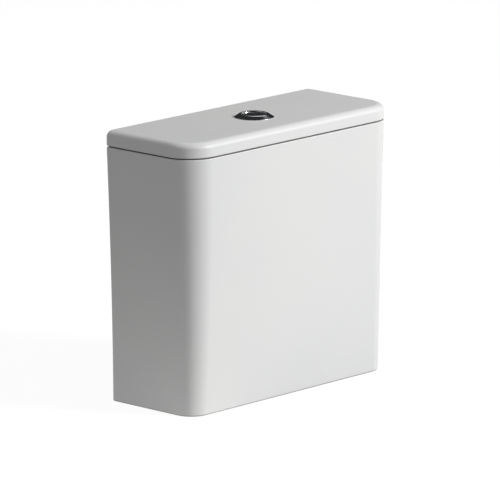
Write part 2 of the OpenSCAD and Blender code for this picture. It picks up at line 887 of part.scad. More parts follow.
// One arm of the head's plate with its two cheeks
module head_side(side) {
    arm_w = (cheek_gap + cheek_t) * 2;
    mirror([side < 0 ? 1 : 0, 0, 0]) {
        difference() {
            translate([0, -arm_w / 2, head_base])
                cube([cheek_out, arm_w, plate_t]);
            translate([0, 0, head_base - past])
                cylinder(r = sleeve_r + 1, h = plate_t + past * 2);
        }
        for (face = [-1, 1])
            translate([0, face * (cheek_gap + cheek_t / 2), 0])
                rotate([90, 0, 0])
                    translate([0, 0, -cheek_t / 2])
                        linear_extrude(cheek_t)
                            polygon([
                                [cheek_in, head_top - sink], [cheek_out, head_top - sink],
                                [cheek_out, bridge_base], [plunger_leg_x - plunger_leg_t, bridge_base],
                                [cheek_in, pivot_z + hub_r]
                            ]);
    }
}

// The slot for the half-flush strap through the head's plate and socket
module strap_slot() {
    translate([-strap_out - 1, -strap_w / 2 - 1, head_base - socket_h - past])
        cube([strap_t + 2, strap_w + 2, socket_h + plate_t + past * 2]);
}

// The bridge: a plate on the cheeks that guides the legs of both plungers
module head_bridge() {
    bridge_w = (cheek_gap + cheek_t) * 2;
    color(grey_plastic)
        at_valve()
            difference() {
                union() {
                    slab((cheek_out + 1) * 2, bridge_w, bridge_base, bridge_top);
                    translate([0, 0, bridge_base])
                        cylinder(r = tube_r + 3, h = plate_t);
                }
                for (side = [-1, 1])
                    translate([side * plunger_leg_x, 0, 0])
                        slab(plunger_leg_t + slide_gap * 2, lever_w + slide_gap * 2,
                             bridge_base - past, bridge_top + past);
                for (side = [-1, 1])
                    translate([0, side * tube_r * 0.55, bridge_base - past])
                        cylinder(r = tube_r * 0.3, h = plate_t + past * 2);
            }
}

module lever_pins() {
    color(steel)
        at_valve()
            for (side = [-1, 1])
                translate([side * pivot_x, 0, pivot_z])
                    cross_rod(pin_d / 2, (cheek_gap + cheek_t) * 2);
}

// A plunger: a round pad under the push rod and a leg down to the lever
module plunger() {
    at_valve() {
        translate([pad_x, 0, pad_base])
            cylinder(r = pad_r, h = pad_t);
        translate([pad_x, -lever_w / 2, pad_base])
            cube([plunger_leg_x + plunger_leg_t / 2 - pad_x, lever_w, pad_t - 0.5]);
        translate([plunger_leg_x, 0, 0])
            slab(plunger_leg_t, lever_w, leg_base, pad_base + sink);
    }
}

module full_plunger() {
    color(white_plastic)
        plunger();
}

module half_plunger() {
    color(blue_plastic)
        mirror([1, 0, 0])
            plunger();
}

// A rocking lever at rest: tip low under the lifted piece, heel high under the plunger
module lever() {
    at_valve()
        translate([pivot_x, 0, pivot_z])
            rotate([0, -half_sweep, 0])
                difference() {
                    union() {
                        cross_rod(hub_r, lever_w);
                        translate([-inner_arm, 0, 0])
                            cross_rod(tip_r, lever_w);
                        translate([outer_arm, 0, 0])
                            cross_rod(heel_r, lever_w);
                        translate([-inner_arm, -lever_w / 2, -arm_t])
                            cube([inner_arm + outer_arm, lever_w, arm_t]);
                    }
                    cross_rod(pin_d / 2 + pin_gap, lever_w + past);
                }
}

module full_lever() {
    color(white_plastic)
        lever();
}

module half_lever() {
    color(blue_plastic)
        mirror([1, 0, 0])
            lever();
}

module overflow_tube() {
    color(white_plastic)
        at_valve()
            ring(tube_r - tube_t, tube_r, tube_base, tube_top);
}

// The collar clipped on the tube, with the tab that the full-flush lever lifts
module lift_collar() {
    tab_w = lever_w + 3;
    color(grey_plastic)
        at_valve()
            difference() {
                union() {
                    translate([0, 0, collar_base])
                        cylinder(r = fit_r + 3.5, h = collar_t);
                    translate([0, -tab_w / 2, collar_base])
                        cube([hook_out, tab_w, collar_t]);
                }
                translate([0, 0, collar_base - past])
                    cylinder(r = fit_r, h = collar_t + past * 2);
            }
}

module seal_carrier() {
    rim_w = 3;
    rim_h = 2;
    hub_w = 4;
    hub_top_w = 2.5;
    hub_h = 6;
    out = seal_r - 1;
    top = carrier_z + carrier_t;
    color(white_plastic)
        at_valve()
            rotate_extrude()
                polygon([
                    [fit_r, carrier_z], [out, carrier_z], [out, top], [out - rim_w, top],
                    [out - rim_w - rim_h, top - rim_h], [fit_r + hub_w, top - rim_h],
                    [fit_r + hub_top_w, top + hub_h], [fit_r, top + hub_h]
                ]);
}

module flush_seal() {
    color(red_silicone)
        at_valve()
            ring(fit_r, seal_r, seal_z, carrier_z);
}

// The clamp under the seal, with fins that guide the tube in the outlet's bore
module seal_clamp() {
    fin_out = outlet_r - slide_gap * 2;
    fin_gap = 1;
    fin_base = seal_z - clamp_t - fin_h;
    color(white_plastic)
        at_valve() {
            ring(fit_r, clamp_r, seal_z - clamp_t, seal_z);
            for (turn = [45, 135, 225, 315])
                rotate(turn)
                    translate([fit_r + fin_gap, -fin_t / 2, fin_base])
                        cube([fin_out - fit_r - fin_gap, fin_t, fin_h + sink]);
        }
}

// The strap of the half-flush float: a notched bar with a hook over its lever
module half_float_strap() {
    notch_base = half_float_z + half_float_h + notch_h;
    color(white_plastic)
        at_valve()
            difference() {
                union() {
                    translate([-strap_out, -strap_w / 2, strap_base])
                        cube([strap_t, strap_w, collar_base + collar_t - strap_base]);
                    translate([-hook_out, -strap_w / 2, collar_base])
                        cube([hook_out - strap_x, strap_w, collar_t]);
                }
                for (i = [0:notch_count - 1])
                    translate([-strap_out - past, -notch_h / 2, notch_base + notch_pitch * i])
                        cube([strap_t + past * 2, notch_h, notch_h]);
            }
}

module half_float() {
    corner = 10;
    band = 3;
    color(blue_plastic)
        at_valve()
            translate([-strap_out - half_float_d / 2, 0, half_float_z]) {
                translate([0, 0, band])
                    linear_extrude(half_float_h - band * 2)
                        polygon(rounded(half_float_d, half_float_w, corner));
                for (z = [0, half_float_h - band])
                    translate([0, 0, z])
                        linear_extrude(band)
                            polygon(rounded(half_float_d - band, half_float_w - band, corner - band / 2));
                translate([half_float_d / 2 - 6, -strap_w / 2, 0])
                    cube([6, strap_w, half_float_h]);
            }
}

// The fill valve's riser with its flange and threaded shank, and a groove between
// the backnut's thread and the free thread for the supply
module fill_riser() {
    groove_h = 1.5;
    free_top = fill_nut_base - groove_h;
    color(white_plastic)
        at_fill()
            rotate_extrude()
                polygon([
                    [riser_bore_r, shank_clear], [shank_r, shank_clear], [shank_r, free_top],
                    [shank_r - groove_h, free_top], [shank_r - groove_h, free_top + groove_h],
                    [shank_r, free_top + groove_h], [shank_r, floor_z + washer_t],
                    [fill_flange_d / 2, floor_z + washer_t], [fill_flange_d / 2, fill_flange_top],
                    [riser_r, fill_flange_top], [riser_r, fill_head_base + fill_head_h / 2],
                    [riser_bore_r, fill_head_base + fill_head_h / 2]
                ]);
}

module fill_washer() {
    color(black_rubber)
        at_fill()
            ring(shank_r + thread_gap * 2, fill_flange_d / 2 - 1, floor_z, floor_z + washer_t);
}

module fill_backnut() {
    color(white_plastic)
        at_fill()
            difference() {
                union() {
                    translate([0, 0, fill_nut_base])
                        cylinder(d = fill_nut_w, h = fill_nut_t - nut_collar_t, $fn = 6);
                    translate([0, 0, recess_h - nut_collar_t])
                        cylinder(d = fill_nut_w, h = nut_collar_t);
                }
                translate([0, 0, fill_nut_base - past])
                    cylinder(r = shank_r + thread_gap, h = fill_nut_t + past * 2);
            }
}

// The strainer pushed up into the shank, with slots for the water
module inlet_strainer() {
    out = riser_bore_r - thread_gap;
    rim_t = 1.2;
    length = 16;
    slot_w = 2;
    color(blue_plastic)
        at_fill()
            difference() {
                union() {
                    translate([0, 0, shank_clear - rim_t])
                        cylinder(r = shank_r - 2, h = rim_t);
                    translate([0, 0, shank_clear - rim_t])
                        cylinder(r = out, h = length + rim_t);
                }
                translate([0, 0, shank_clear - rim_t - past])
                    cylinder(r = out - 1.5, h = length);
                for (turn = [0, 60, 120])
                    rotate(turn)
                        slab(out * 2 + past, slot_w, shank_clear + slot_w, shank_clear + length - slot_w * 2);
            }
}

// The sleeve that leads the water down, with outlets at its foot
module fill_sleeve() {
    outlet_w = 7;
    outlet_h = 14;
    outlet_base = fill_flange_top + 4;
    color(grey_plastic)
        at_fill()
            difference() {
                ring(fill_sleeve_r, fill_sleeve_out_r, fill_flange_top, fill_head_base);
                for (turn = [0, 90])
                    rotate(turn)
                        slab(fill_sleeve_out_r * 2 + past, outlet_w, outlet_base, outlet_base + outlet_h);
            }
}

module fill_head() {
    rib_count = 12;
    rib_w = 2;
    rib_h = 1;
    chamber = riser_r + thread_gap;
    color(white_plastic)
        at_fill() {
            difference() {
                translate([0, 0, fill_head_base])
                    cylinder(r = fill_head_r, h = fill_head_h);
                translate([0, 0, fill_head_base - past])
                    cylinder(r = chamber, h = fill_head_h / 2 + past);
                translate([0, 0, fill_head_base])
                    cylinder(r = riser_bore_r, h = fill_head_h - diaphragm_t + past);
                translate([0, 0, cap_base - diaphragm_t])
                    cylinder(r = diaphragm_r + thread_gap, h = diaphragm_t + past);
            }
            for (i = [0:rib_count - 1])
                rotate(360 * (i + 0.5) / rib_count)
                    translate([fill_head_r - sink, -rib_w / 2, fill_head_base])
                        cube([rib_h + sink, rib_w, fill_head_h - rib_w * 2]);
        }
}

module fill_diaphragm() {
    color(black_rubber)
        at_fill()
            translate([0, 0, cap_base - diaphragm_t])
                cylinder(r = diaphragm_r, h = diaphragm_t);
}

// The cap: a grooved disc with two ears for the lever and the pilot in its middle
module fill_cap() {
    groove_count = 18;
    groove_r = 1.2;
    ear_w = fill_hub_r * 2;
    color(blue_plastic)
        at_fill()
            difference() {
                union() {
                    translate([0, 0, cap_base])
                        cylinder(r = cap_r, h = cap_h);
                    translate([fill_pivot_x + pilot_arm, 0, cap_top - past])
                        cylinder(r = 3, h = pilot_h + past);
                    for (face = [-1, 1])
                        translate([fill_pivot_x, face * (ear_gap + ear_t / 2), 0])
                            slab(ear_w, ear_t, cap_top - past, ear_top);
                }
                translate([fill_pivot_x, 0, fill_pivot_z])
                    cross_rod(fill_pin_r + pin_gap / 2, (ear_gap + ear_t) * 2 + past);
                for (i = [0:groove_count - 1])
                    rotate(360 * i / groove_count)
                        translate([cap_r + groove_r * 0.4, 0, cap_base - past])
                            cylinder(r = groove_r, h = cap_h + past * 2, $fn = 24);
            }
}

// The fill lever at rest: its long arm hangs down to the link rod
module fill_lever() {
    slot = (link_r + slide_gap + fill_arm_t / 2 * tan(float_sweep) + link_drift * 2) * 2;
    eye_r = slot / 2 + 2;
    color(grey_plastic)
        at_fill()
            translate([fill_pivot_x, 0, fill_pivot_z])
                rotate([0, -float_sweep, 0])
                    difference() {
                        union() {
                            cross_rod(fill_hub_r, fill_lever_w);
                            translate([-link_arm, -fill_lever_w / 2, -fill_arm_t / 2])
                                cube([link_arm, fill_lever_w, fill_arm_t]);
                            translate([-link_arm, 0, -fill_arm_t / 2])
                                cylinder(r = eye_r, h = fill_arm_t);
                            translate([0, -fill_lever_w / 2, -1.5])
                                cube([pilot_arm, fill_lever_w, 3]);
                            translate([pilot_arm, 0, 0])
                                cross_rod(2, fill_lever_w);
                        }
                        cross_rod(fill_pin_r + pin_gap, fill_lever_w + past);
                        translate([-link_arm, 0, 0])
                            slab(slot, (link_r + slide_gap) * 2, -fill_arm_t, fill_arm_t);
                    }
}

module fill_lever_pin() {
    color(steel)
        at_fill()
            translate([fill_pivot_x, 0, fill_pivot_z])
                cross_rod(fill_pin_r, (ear_gap + ear_t) * 2);
}

// The fill float: a closed ring around the sleeve, bevelled above and below
module fill_float() {
    bevel = 4;
    out = fill_float_d / 2;
    color(black_rubber)
        at_fill()
            difference() {
                rotate_extrude()
                    polygon([
                        [fill_float_r, fill_float_base], [out - bevel, fill_float_base],
                        [out, fill_float_base + bevel], [out, fill_float_top - bevel],
                        [out - bevel, fill_float_top], [fill_float_r, fill_float_top]
                    ]);
                translate([link_x, 0, fill_float_top - link_depth])
                    cylinder(r = link_r + thread_gap / 2, h = link_depth + past);
            }
}

// The link rod, pushed into the float, with a stop under the lever and a knob above it
module fill_link_rod() {
    color(white_plastic)
        at_fill()
            translate([link_x, 0, 0]) {
                translate([0, 0, fill_float_top - link_depth])
                    cylinder(r = link_r, h = link_z + knob_gap + knob_h - fill_float_top + link_depth);
                translate([0, 0, link_z - knob_gap - 2])
                    cylinder(r = knob_r, h = 2);
                translate([0, 0, link_z + knob_gap])
                    cylinder(r = knob_r, h = knob_h);
            }
}

tank();
lid();
button_bezel();
button_housing();
button_locknut();
full_flush_button();
half_flush_button();
full_push_rod();
half_push_rod();
full_button_spring();
half_button_spring();
outlet_seat();
outlet_washer();
outlet_backnut();
pan_seal();
valve_tower();
valve_head();
head_bridge();
lever_pins();
full_plunger();
half_plunger();
full_lever();
half_lever();
overflow_tube();
lift_collar();
seal_carrier();
flush_seal();
seal_clamp();
half_float_strap();
half_float();
fill_riser();
fill_washer();
fill_backnut();
inlet_strainer();
fill_sleeve();
fill_head();
fill_diaphragm();
fill_cap();
fill_lever();
fill_lever_pin();
fill_float();
fill_link_rod();
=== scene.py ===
"""Looks of a close-coupled toilet cistern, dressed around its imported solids.

The china, the chrome button set, the springs and the threaded pieces are modelled anew
at a finer grain than the solids. The other nodes keep their solids and get rounded
edges and finishes. Lengths are in metres, +Z is up and the front faces -Y.
"""

import json
import logging
import math
from dataclasses import dataclass
from enum import Enum
from typing import Callable, Optional, Sequence, Union

import bmesh
import bpy
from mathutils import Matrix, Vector


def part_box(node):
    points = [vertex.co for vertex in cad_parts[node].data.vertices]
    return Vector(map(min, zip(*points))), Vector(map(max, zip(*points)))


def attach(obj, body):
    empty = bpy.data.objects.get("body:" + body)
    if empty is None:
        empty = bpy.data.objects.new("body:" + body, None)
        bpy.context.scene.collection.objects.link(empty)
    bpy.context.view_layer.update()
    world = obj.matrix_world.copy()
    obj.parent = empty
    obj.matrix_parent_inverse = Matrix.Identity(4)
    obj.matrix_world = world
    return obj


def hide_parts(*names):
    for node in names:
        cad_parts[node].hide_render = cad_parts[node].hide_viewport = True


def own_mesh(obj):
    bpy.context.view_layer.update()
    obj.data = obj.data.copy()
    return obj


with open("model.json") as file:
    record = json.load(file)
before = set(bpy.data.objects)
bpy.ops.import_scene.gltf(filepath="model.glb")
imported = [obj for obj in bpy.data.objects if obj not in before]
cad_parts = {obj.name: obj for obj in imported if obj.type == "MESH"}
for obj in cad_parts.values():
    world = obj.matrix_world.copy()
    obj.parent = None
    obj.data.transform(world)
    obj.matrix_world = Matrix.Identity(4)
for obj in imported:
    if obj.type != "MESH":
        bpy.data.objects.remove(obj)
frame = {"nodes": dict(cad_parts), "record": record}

MM = 0.001
log = logging.getLogger("cistern")

Number = Union[int, float]
Triple = tuple[float, float, float]
Colour = Triple
Pair = tuple[float, float]
Ring = list[Vector]
Piece = bpy.types.Object


class Slot(Enum):
    """The record's material slots."""

    CHINA = "glazed_china"
    CHROME = "chrome_plate"
    WHITE = "white_plastic"
    GREY = "grey_plastic"
    BLUE = "blue_plastic"
    BLACK = "black_plastic"
    RUBBER = "black_rubber"
    SILICONE = "red_silicone"
    STEEL = "steel"


class Side(Enum):
    """The two buttons: the half flush on the left, the full flush on the right."""

    HALF = -1
    FULL = 1

    @property
    def word(self) -> str:
        """The word that the names of this side's nodes start with."""
        return self.name.lower()


class Wire:
    """A node's output; Python's operators on it add Math nodes."""

    def __init__(self, graph: "Graph", socket: bpy.types.NodeSocket) -> None:
        """Keeps the graph and the socket."""
        self.graph = graph
        self.socket = socket

    def _math(self, operation: str, *operands: "Value") -> "Wire":
        """Adds one Math node, by Blender's name of the operation."""
        return self.graph.node("ShaderNodeMath", {"operation": operation}, dict(enumerate(operands)))

    def __add__(self, other: "Value") -> "Wire":
        """self + other."""
        return self._math("ADD", self, other)

    __radd__ = __add__

    def __mul__(self, other: "Value") -> "Wire":
        """self * other."""
        return self._math("MULTIPLY", self, other)

    __rmul__ = __mul__

    def __sub__(self, other: "Value") -> "Wire":
        """self - other."""
        return self._math("SUBTRACT", self, other)

    def __rsub__(self, other: "Value") -> "Wire":
        """other - self."""
        return self._math("SUBTRACT", other, self)

    def __or__(self, other: "Value") -> "Wire":
        """The larger of two masks."""
        return self._math("MAXIMUM", self, other)

    def __abs__(self) -> "Wire":
        """The distance from zero."""
        return self._math("ABSOLUTE", self)

    def rise(self, low: float, high: float) -> "Wire":
        """A smooth step from 0 at low to 1 at high."""
        limits = {"Value": self, "From Min": low, "From Max": high}
        return self.graph.node("ShaderNodeMapRange", {"interpolation_type": "SMOOTHSTEP"}, limits)


Value = Union[Wire, Number, Sequence[float]]


class Graph:
    """The node tree of one material or of the world."""

    def __init__(self, tree: bpy.types.NodeTree) -> None:
        """Empties the tree."""
        self.tree = tree
        tree.nodes.clear()

    @classmethod
    def of_material(cls, name: str) -> tuple["Graph", bpy.types.Material]:
        """Makes a new material.

        Args:
            name: The material's name.

        Returns:
            Its graph and the material.
        """
        material = bpy.data.materials.new(name)
        material.use_nodes = True
        return cls(material.node_tree), material

    def node(self, kind: str, settings: Optional[dict] = None, inputs: Optional[dict] = None,
             output: Union[int, str] = 0) -> Wire:
        """Adds any node.

        Args:
            kind: Blender's type name of the node.
            settings: Attributes of the node, set first.
            inputs: Values or wires for its sockets, by name or number.
            output: The output to return.

        Returns:
            The chosen output.
        """
        made = self.tree.nodes.new(kind)
        for key, value in (settings or {}).items():
            setattr(made, key, value)
        for key, value in (inputs or {}).items():
            if isinstance(value, Wire):
                self.tree.links.new(value.socket, made.inputs[key])
            else:
                made.inputs[key].default_value = value
        return Wire(self, made.outputs[output] if made.outputs else None)

    def place(self, kind: str = "Object") -> Wire:
        """The point in the piece's own frame or, with Generated, the way of a ray of the world."""
        return self.node("ShaderNodeTexCoord", output=kind)

    def height(self, kind: str = "Object") -> Wire:
        """How high that point is, or how far that ray points up."""
        return self.node("ShaderNodeSeparateXYZ", inputs={0: self.place(kind)}, output="Z")

    def noise(self, cells: float, octaves: float) -> Wire:
        """A cloudy pattern, by its cells to the metre."""
        inputs = {"Vector": self.place(), "Scale": cells, "Detail": octaves}
        return self.node("ShaderNodeTexNoise", None, inputs)

    def mix(self, share: Value, first: Value, second: Value) -> Wire:
        """Mixes two colours by a share of the second."""
        # Among this node's sockets, inputs 6 and 7 and output 2 are the colours
        paints = [c if isinstance(c, Wire) else (*c, 1.0) for c in (first, second)]
        return self.node("ShaderNodeMix", {"data_type": "RGBA"}, {0: share, 6: paints[0], 7: paints[1]}, 2)

    def bump(self, height: Wire, distance: float, strength: float) -> Wire:
        """The normal, bent by a share of a height pattern that is so many metres deep."""
        inputs = {"Strength": strength, "Distance": distance, "Height": height}
        return self.node("ShaderNodeBump", None, inputs)

    def surface(self, inputs: dict) -> None:
        """Ends a material in a Principled shader with these values and wires."""
        shader = self.node("ShaderNodeBsdfPrincipled", None, inputs)
        self.node("ShaderNodeOutputMaterial", None, {"Surface": shader})


@dataclass(frozen=True)
class GlazedChina:
    """White vitreous china under a clear glaze, bare on the foot and where the lid sits on the rim, where
    painted shade also darkens a band at the seam.

    Fields that end in cells are the grains of patterns to the metre, those in share are how much of
    a pattern shows and those in band are where it fades in. The other finishes use the same words.
    """

    rim_z: float
    body: Colour = (0.815, 0.815, 0.808)
    cool: Colour = (0.790, 0.793, 0.800)
    speck: Colour = (0.60, 0.58, 0.54)
    bare: Colour = (0.62, 0.60, 0.56)
    # painted shade: the grey that darkens the band at the lid seam, standing in for the shadow in the gap
    painted_seam_shade: Colour = (0.34, 0.335, 0.325)
    cloud_cells: float = 5.0
    cloud_band: Pair = (0.35, 0.7)
    speck_cells: float = 900.0
    speck_band: Pair = (0.80, 0.86)
    speck_share: float = 0.10
    gloss: float = 0.44
    gloss_cells: float = 30.0
    gloss_share: float = 0.05
    bare_rough: float = 0.6
    coat: float = 0.06
    coat_rough: float = 0.2
    ior: float = 1.5
    foot_h: float = 1.6 * MM
    foot_cells: float = 90.0
    foot_share: float = 0.8
    foot_fade: float = 0.4
    seam_up: float = 0.6 * MM
    seam_band: Pair = (0.54 * MM, 0.9 * MM)
    ripple: float = 0.12 * MM
    ripple_cells: float = 55.0
    ripple_share: float = 0.25
    grain_cells: float = 1500.0
    grain_share: float = 0.5

    def material(self) -> bpy.types.Material:
        """Builds the finish."""
        graph, made = Graph.of_material("glazed_china")
        cloud = graph.noise(self.cloud_cells, octaves=3).rise(*self.cloud_band)
        speck = graph.noise(self.speck_cells, octaves=0).rise(*self.speck_band)
        height = graph.height()
        wander = graph.noise(self.foot_cells, octaves=2) * (self.foot_h * self.foot_share)
        foot = 1 - (height - wander).rise(self.foot_h * self.foot_fade, self.foot_h)
        # The seam band is partly real, a bare and rough unglazed rim, and partly painted shade through its
        # darker colour
        seam = 1 - abs(height - (self.rim_z + self.seam_up)).rise(*self.seam_band)
        bare = foot | seam
        tint = graph.mix(cloud, self.body, self.cool)
        tint = graph.mix(speck * self.speck_share, tint, self.speck)
        tint = graph.mix(foot, tint, self.bare)
        # painted shade: the seam band is darkened to stand in for the shadow in the gap under the lid
        tint = graph.mix(seam, tint, self.painted_seam_shade)
        grain = graph.noise(self.grain_cells, octaves=1) * bare * self.grain_share
        waves = graph.noise(self.ripple_cells, octaves=1) + grain
        rough = graph.noise(self.gloss_cells, octaves=3) * self.gloss_share + self.gloss
        graph.surface({
            "Base Color": tint,
            "Roughness": rough + bare * self.bare_rough,
            "IOR": self.ior,
            "Coat Weight": self.coat - bare * self.coat,
            "Coat Roughness": self.coat_rough,
            "Normal": graph.bump(waves, self.ripple, self.ripple_share),
        })
        return made


@dataclass(frozen=True)
class ChromePlate:
    """Bright chrome on plastic, with faint wiping marks."""

    body: Colour = (0.72, 0.73, 0.75)
    wiped: Colour = (0.58, 0.59, 0.60)
    gloss: float = 0.06
    smear_cells: float = 60.0
    smear_band: Pair = (0.45, 0.75)
    smear_share: float = 0.3
    smear_rough: float = 0.06
    grain: float = 0.01 * MM
    grain_cells: float = 700.0
    grain_share: float = 0.2

    def material(self) -> bpy.types.Material:
        """Builds the finish."""
        graph, made = Graph.of_material("chrome_plate")
        smear = graph.noise(self.smear_cells, octaves=4).rise(*self.smear_band)
        graph.surface({
            "Base Color": graph.mix(smear * self.smear_share, self.body, self.wiped),
            "Metallic": 1.0,
            "Roughness": smear * self.smear_rough + self.gloss,
            "Normal": graph.bump(graph.noise(self.grain_cells, octaves=1), self.grain, self.grain_share),
        })
        return made


@dataclass(frozen=True)
class MouldedPlastic:
    """Injection-moulded plastic with a fine spark texture and a trace of water scale."""

    name: str
    body: Colour
    scale: Colour
    gloss: float = 0.38
    ior: float = 1.48
    shade: float = 0.9
    cloud_cells: float = 35.0
    cloud_band: Pair = (0.35, 0.75)
    cloud_share: float = 0.35
    cloud_rough: float = 0.12
    scale_cells: float = 260.0
    scale_band: Pair = (0.62, 0.80)
    scale_share: float = 0.18
    scale_rough: float = 0.15
    spark: float = 0.02 * MM
    spark_cells: float = 3200.0
    spark_share: float = 0.35

    def material(self) -> bpy.types.Material:
        """Builds the finish."""
        graph, made = Graph.of_material(self.name)
        cloud = graph.noise(self.cloud_cells, octaves=4).rise(*self.cloud_band)
        scale = graph.noise(self.scale_cells, octaves=3).rise(*self.scale_band)
        tint = graph.mix(cloud * self.cloud_share, self.body, tuple(c * self.shade for c in self.body))
        graph.surface({
            "Base Color": graph.mix(scale * self.scale_share, tint, self.scale),
            "Roughness": cloud * self.cloud_rough + scale * self.scale_rough + self.gloss,
            "IOR": self.ior,
            "Normal": graph.bump(graph.noise(self.spark_cells, octaves=1), self.spark, self.spark_share),
        })
        return made


@dataclass(frozen=True)
class SoftSeal:
    """Rubber or silicone: matt, with a bloom and a fine moulded grain."""

    name: str
    body: Colour
    bloom: Colour
    gloss: float = 0.62
    cloud_cells: float = 70.0
    cloud_band: Pair = (0.4, 0.75)
    cloud_share: float = 0.5
    cloud_rough: float = 0.15
    grain: float = 0.05 * MM
    grain_cells: float = 2200.0
    grain_share: float = 0.5

    def material(self) -> bpy.types.Material:
        """Builds the finish."""
        graph, made = Graph.of_material(self.name)
        cloud = graph.noise(self.cloud_cells, octaves=4).rise(*self.cloud_band)
        graph.surface({
            "Base Color": graph.mix(cloud * self.cloud_share, self.body, self.bloom),
            "Roughness": cloud * self.cloud_rough + self.gloss,
            "Normal": graph.bump(graph.noise(self.grain_cells, octaves=2), self.grain, self.grain_share),
        })
        return made


@dataclass(frozen=True)
class DrawnSteel:
    """Stainless wire and pins, with fine marks from drawing."""

    body: Colour = (0.56, 0.56, 0.57)
    dull: Colour = (0.46, 0.455, 0.45)
    gloss: float = 0.2
    cloud_cells: float = 120.0
    marks: float = 0.01 * MM
    marks_cells: float = 1800.0
    marks_rough: float = 0.2
    marks_share: float = 0.4

    def material(self) -> bpy.types.Material:
        """Builds the finish."""
        graph, made = Graph.of_material("drawn_steel")
        marks = graph.noise(self.marks_cells, octaves=2)
        graph.surface({
            "Base Color": graph.mix(graph.noise(self.cloud_cells, octaves=2), self.body, self.dull),
            "Metallic": 1.0,
            "Roughness": marks * self.marks_rough + self.gloss,
            "Normal": graph.bump(marks, self.marks, self.marks_share),
        })
        return made


LIME = (0.80, 0.77, 0.70)
FINISHES = {
    Slot.CHINA: GlazedChina(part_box("tank")[1].z),
    Slot.CHROME: ChromePlate(),
    Slot.WHITE: MouldedPlastic("white_plastic", (0.76, 0.76, 0.73), (0.62, 0.58, 0.50)),
    Slot.GREY: MouldedPlastic("grey_plastic", (0.33, 0.345, 0.36), LIME),
    Slot.BLUE: MouldedPlastic("blue_plastic", (0.030, 0.105, 0.42), LIME, 0.34),
    Slot.BLACK: MouldedPlastic("black_plastic", (0.022, 0.022, 0.024), LIME, 0.42),
    Slot.RUBBER: SoftSeal("black_rubber", (0.018, 0.018, 0.018), (0.055, 0.055, 0.053)),
    Slot.SILICONE: SoftSeal("red_silicone", (0.42, 0.032, 0.020), (0.50, 0.10, 0.07), 0.45),
    Slot.STEEL: DrawnSteel(),
}


class Palette:
    """Builds each finish once and puts it on pieces and on CAD nodes."""

    def __init__(self) -> None:
        """Builds all finishes."""
        self.materials = {slot: finish.material() for slot, finish in FINISHES.items()}

    def dress(self, piece: Piece, slot: Slot) -> None:
        """Gives a new piece or a CAD node one finish."""
        piece.data.materials.clear()
        piece.data.materials.append(self.materials[slot])

    def add(self, piece: Piece, slot: Slot, body: str, node: str) -> None:
        """Puts a new piece on a body in the place of a CAD node.

        Args:
            piece: The piece, in place.
            slot: The record's slot.
            body: The CAD body that carries it.
            node: The CAD node that it stands for.
        """
        self.dress(piece, slot)
        piece.modifiers.new("even_normals", "WEIGHTED_NORMAL").keep_sharp = True
        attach(piece, body)
        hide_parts(node)
        log.info("%s rides on %s: %d faces", piece.name, body, len(piece.data.polygons))

    def keep(self, slot: Slot, edge: float, *names: str) -> None:
        """Keeps CAD nodes and gives them a finish and rounded edges.

        Args:
            slot: The record's slot.
            edge: Width of the rounding.
            names: The nodes' names.
        """
        for name in names:
            node = frame["nodes"][name]
            node.modifiers.new("weld", "WELD").merge_threshold = Shop.MERGE
            Shop.round_edges(node, edge)
            self.dress(node, slot)
            log.info("%s keeps its solid", name)


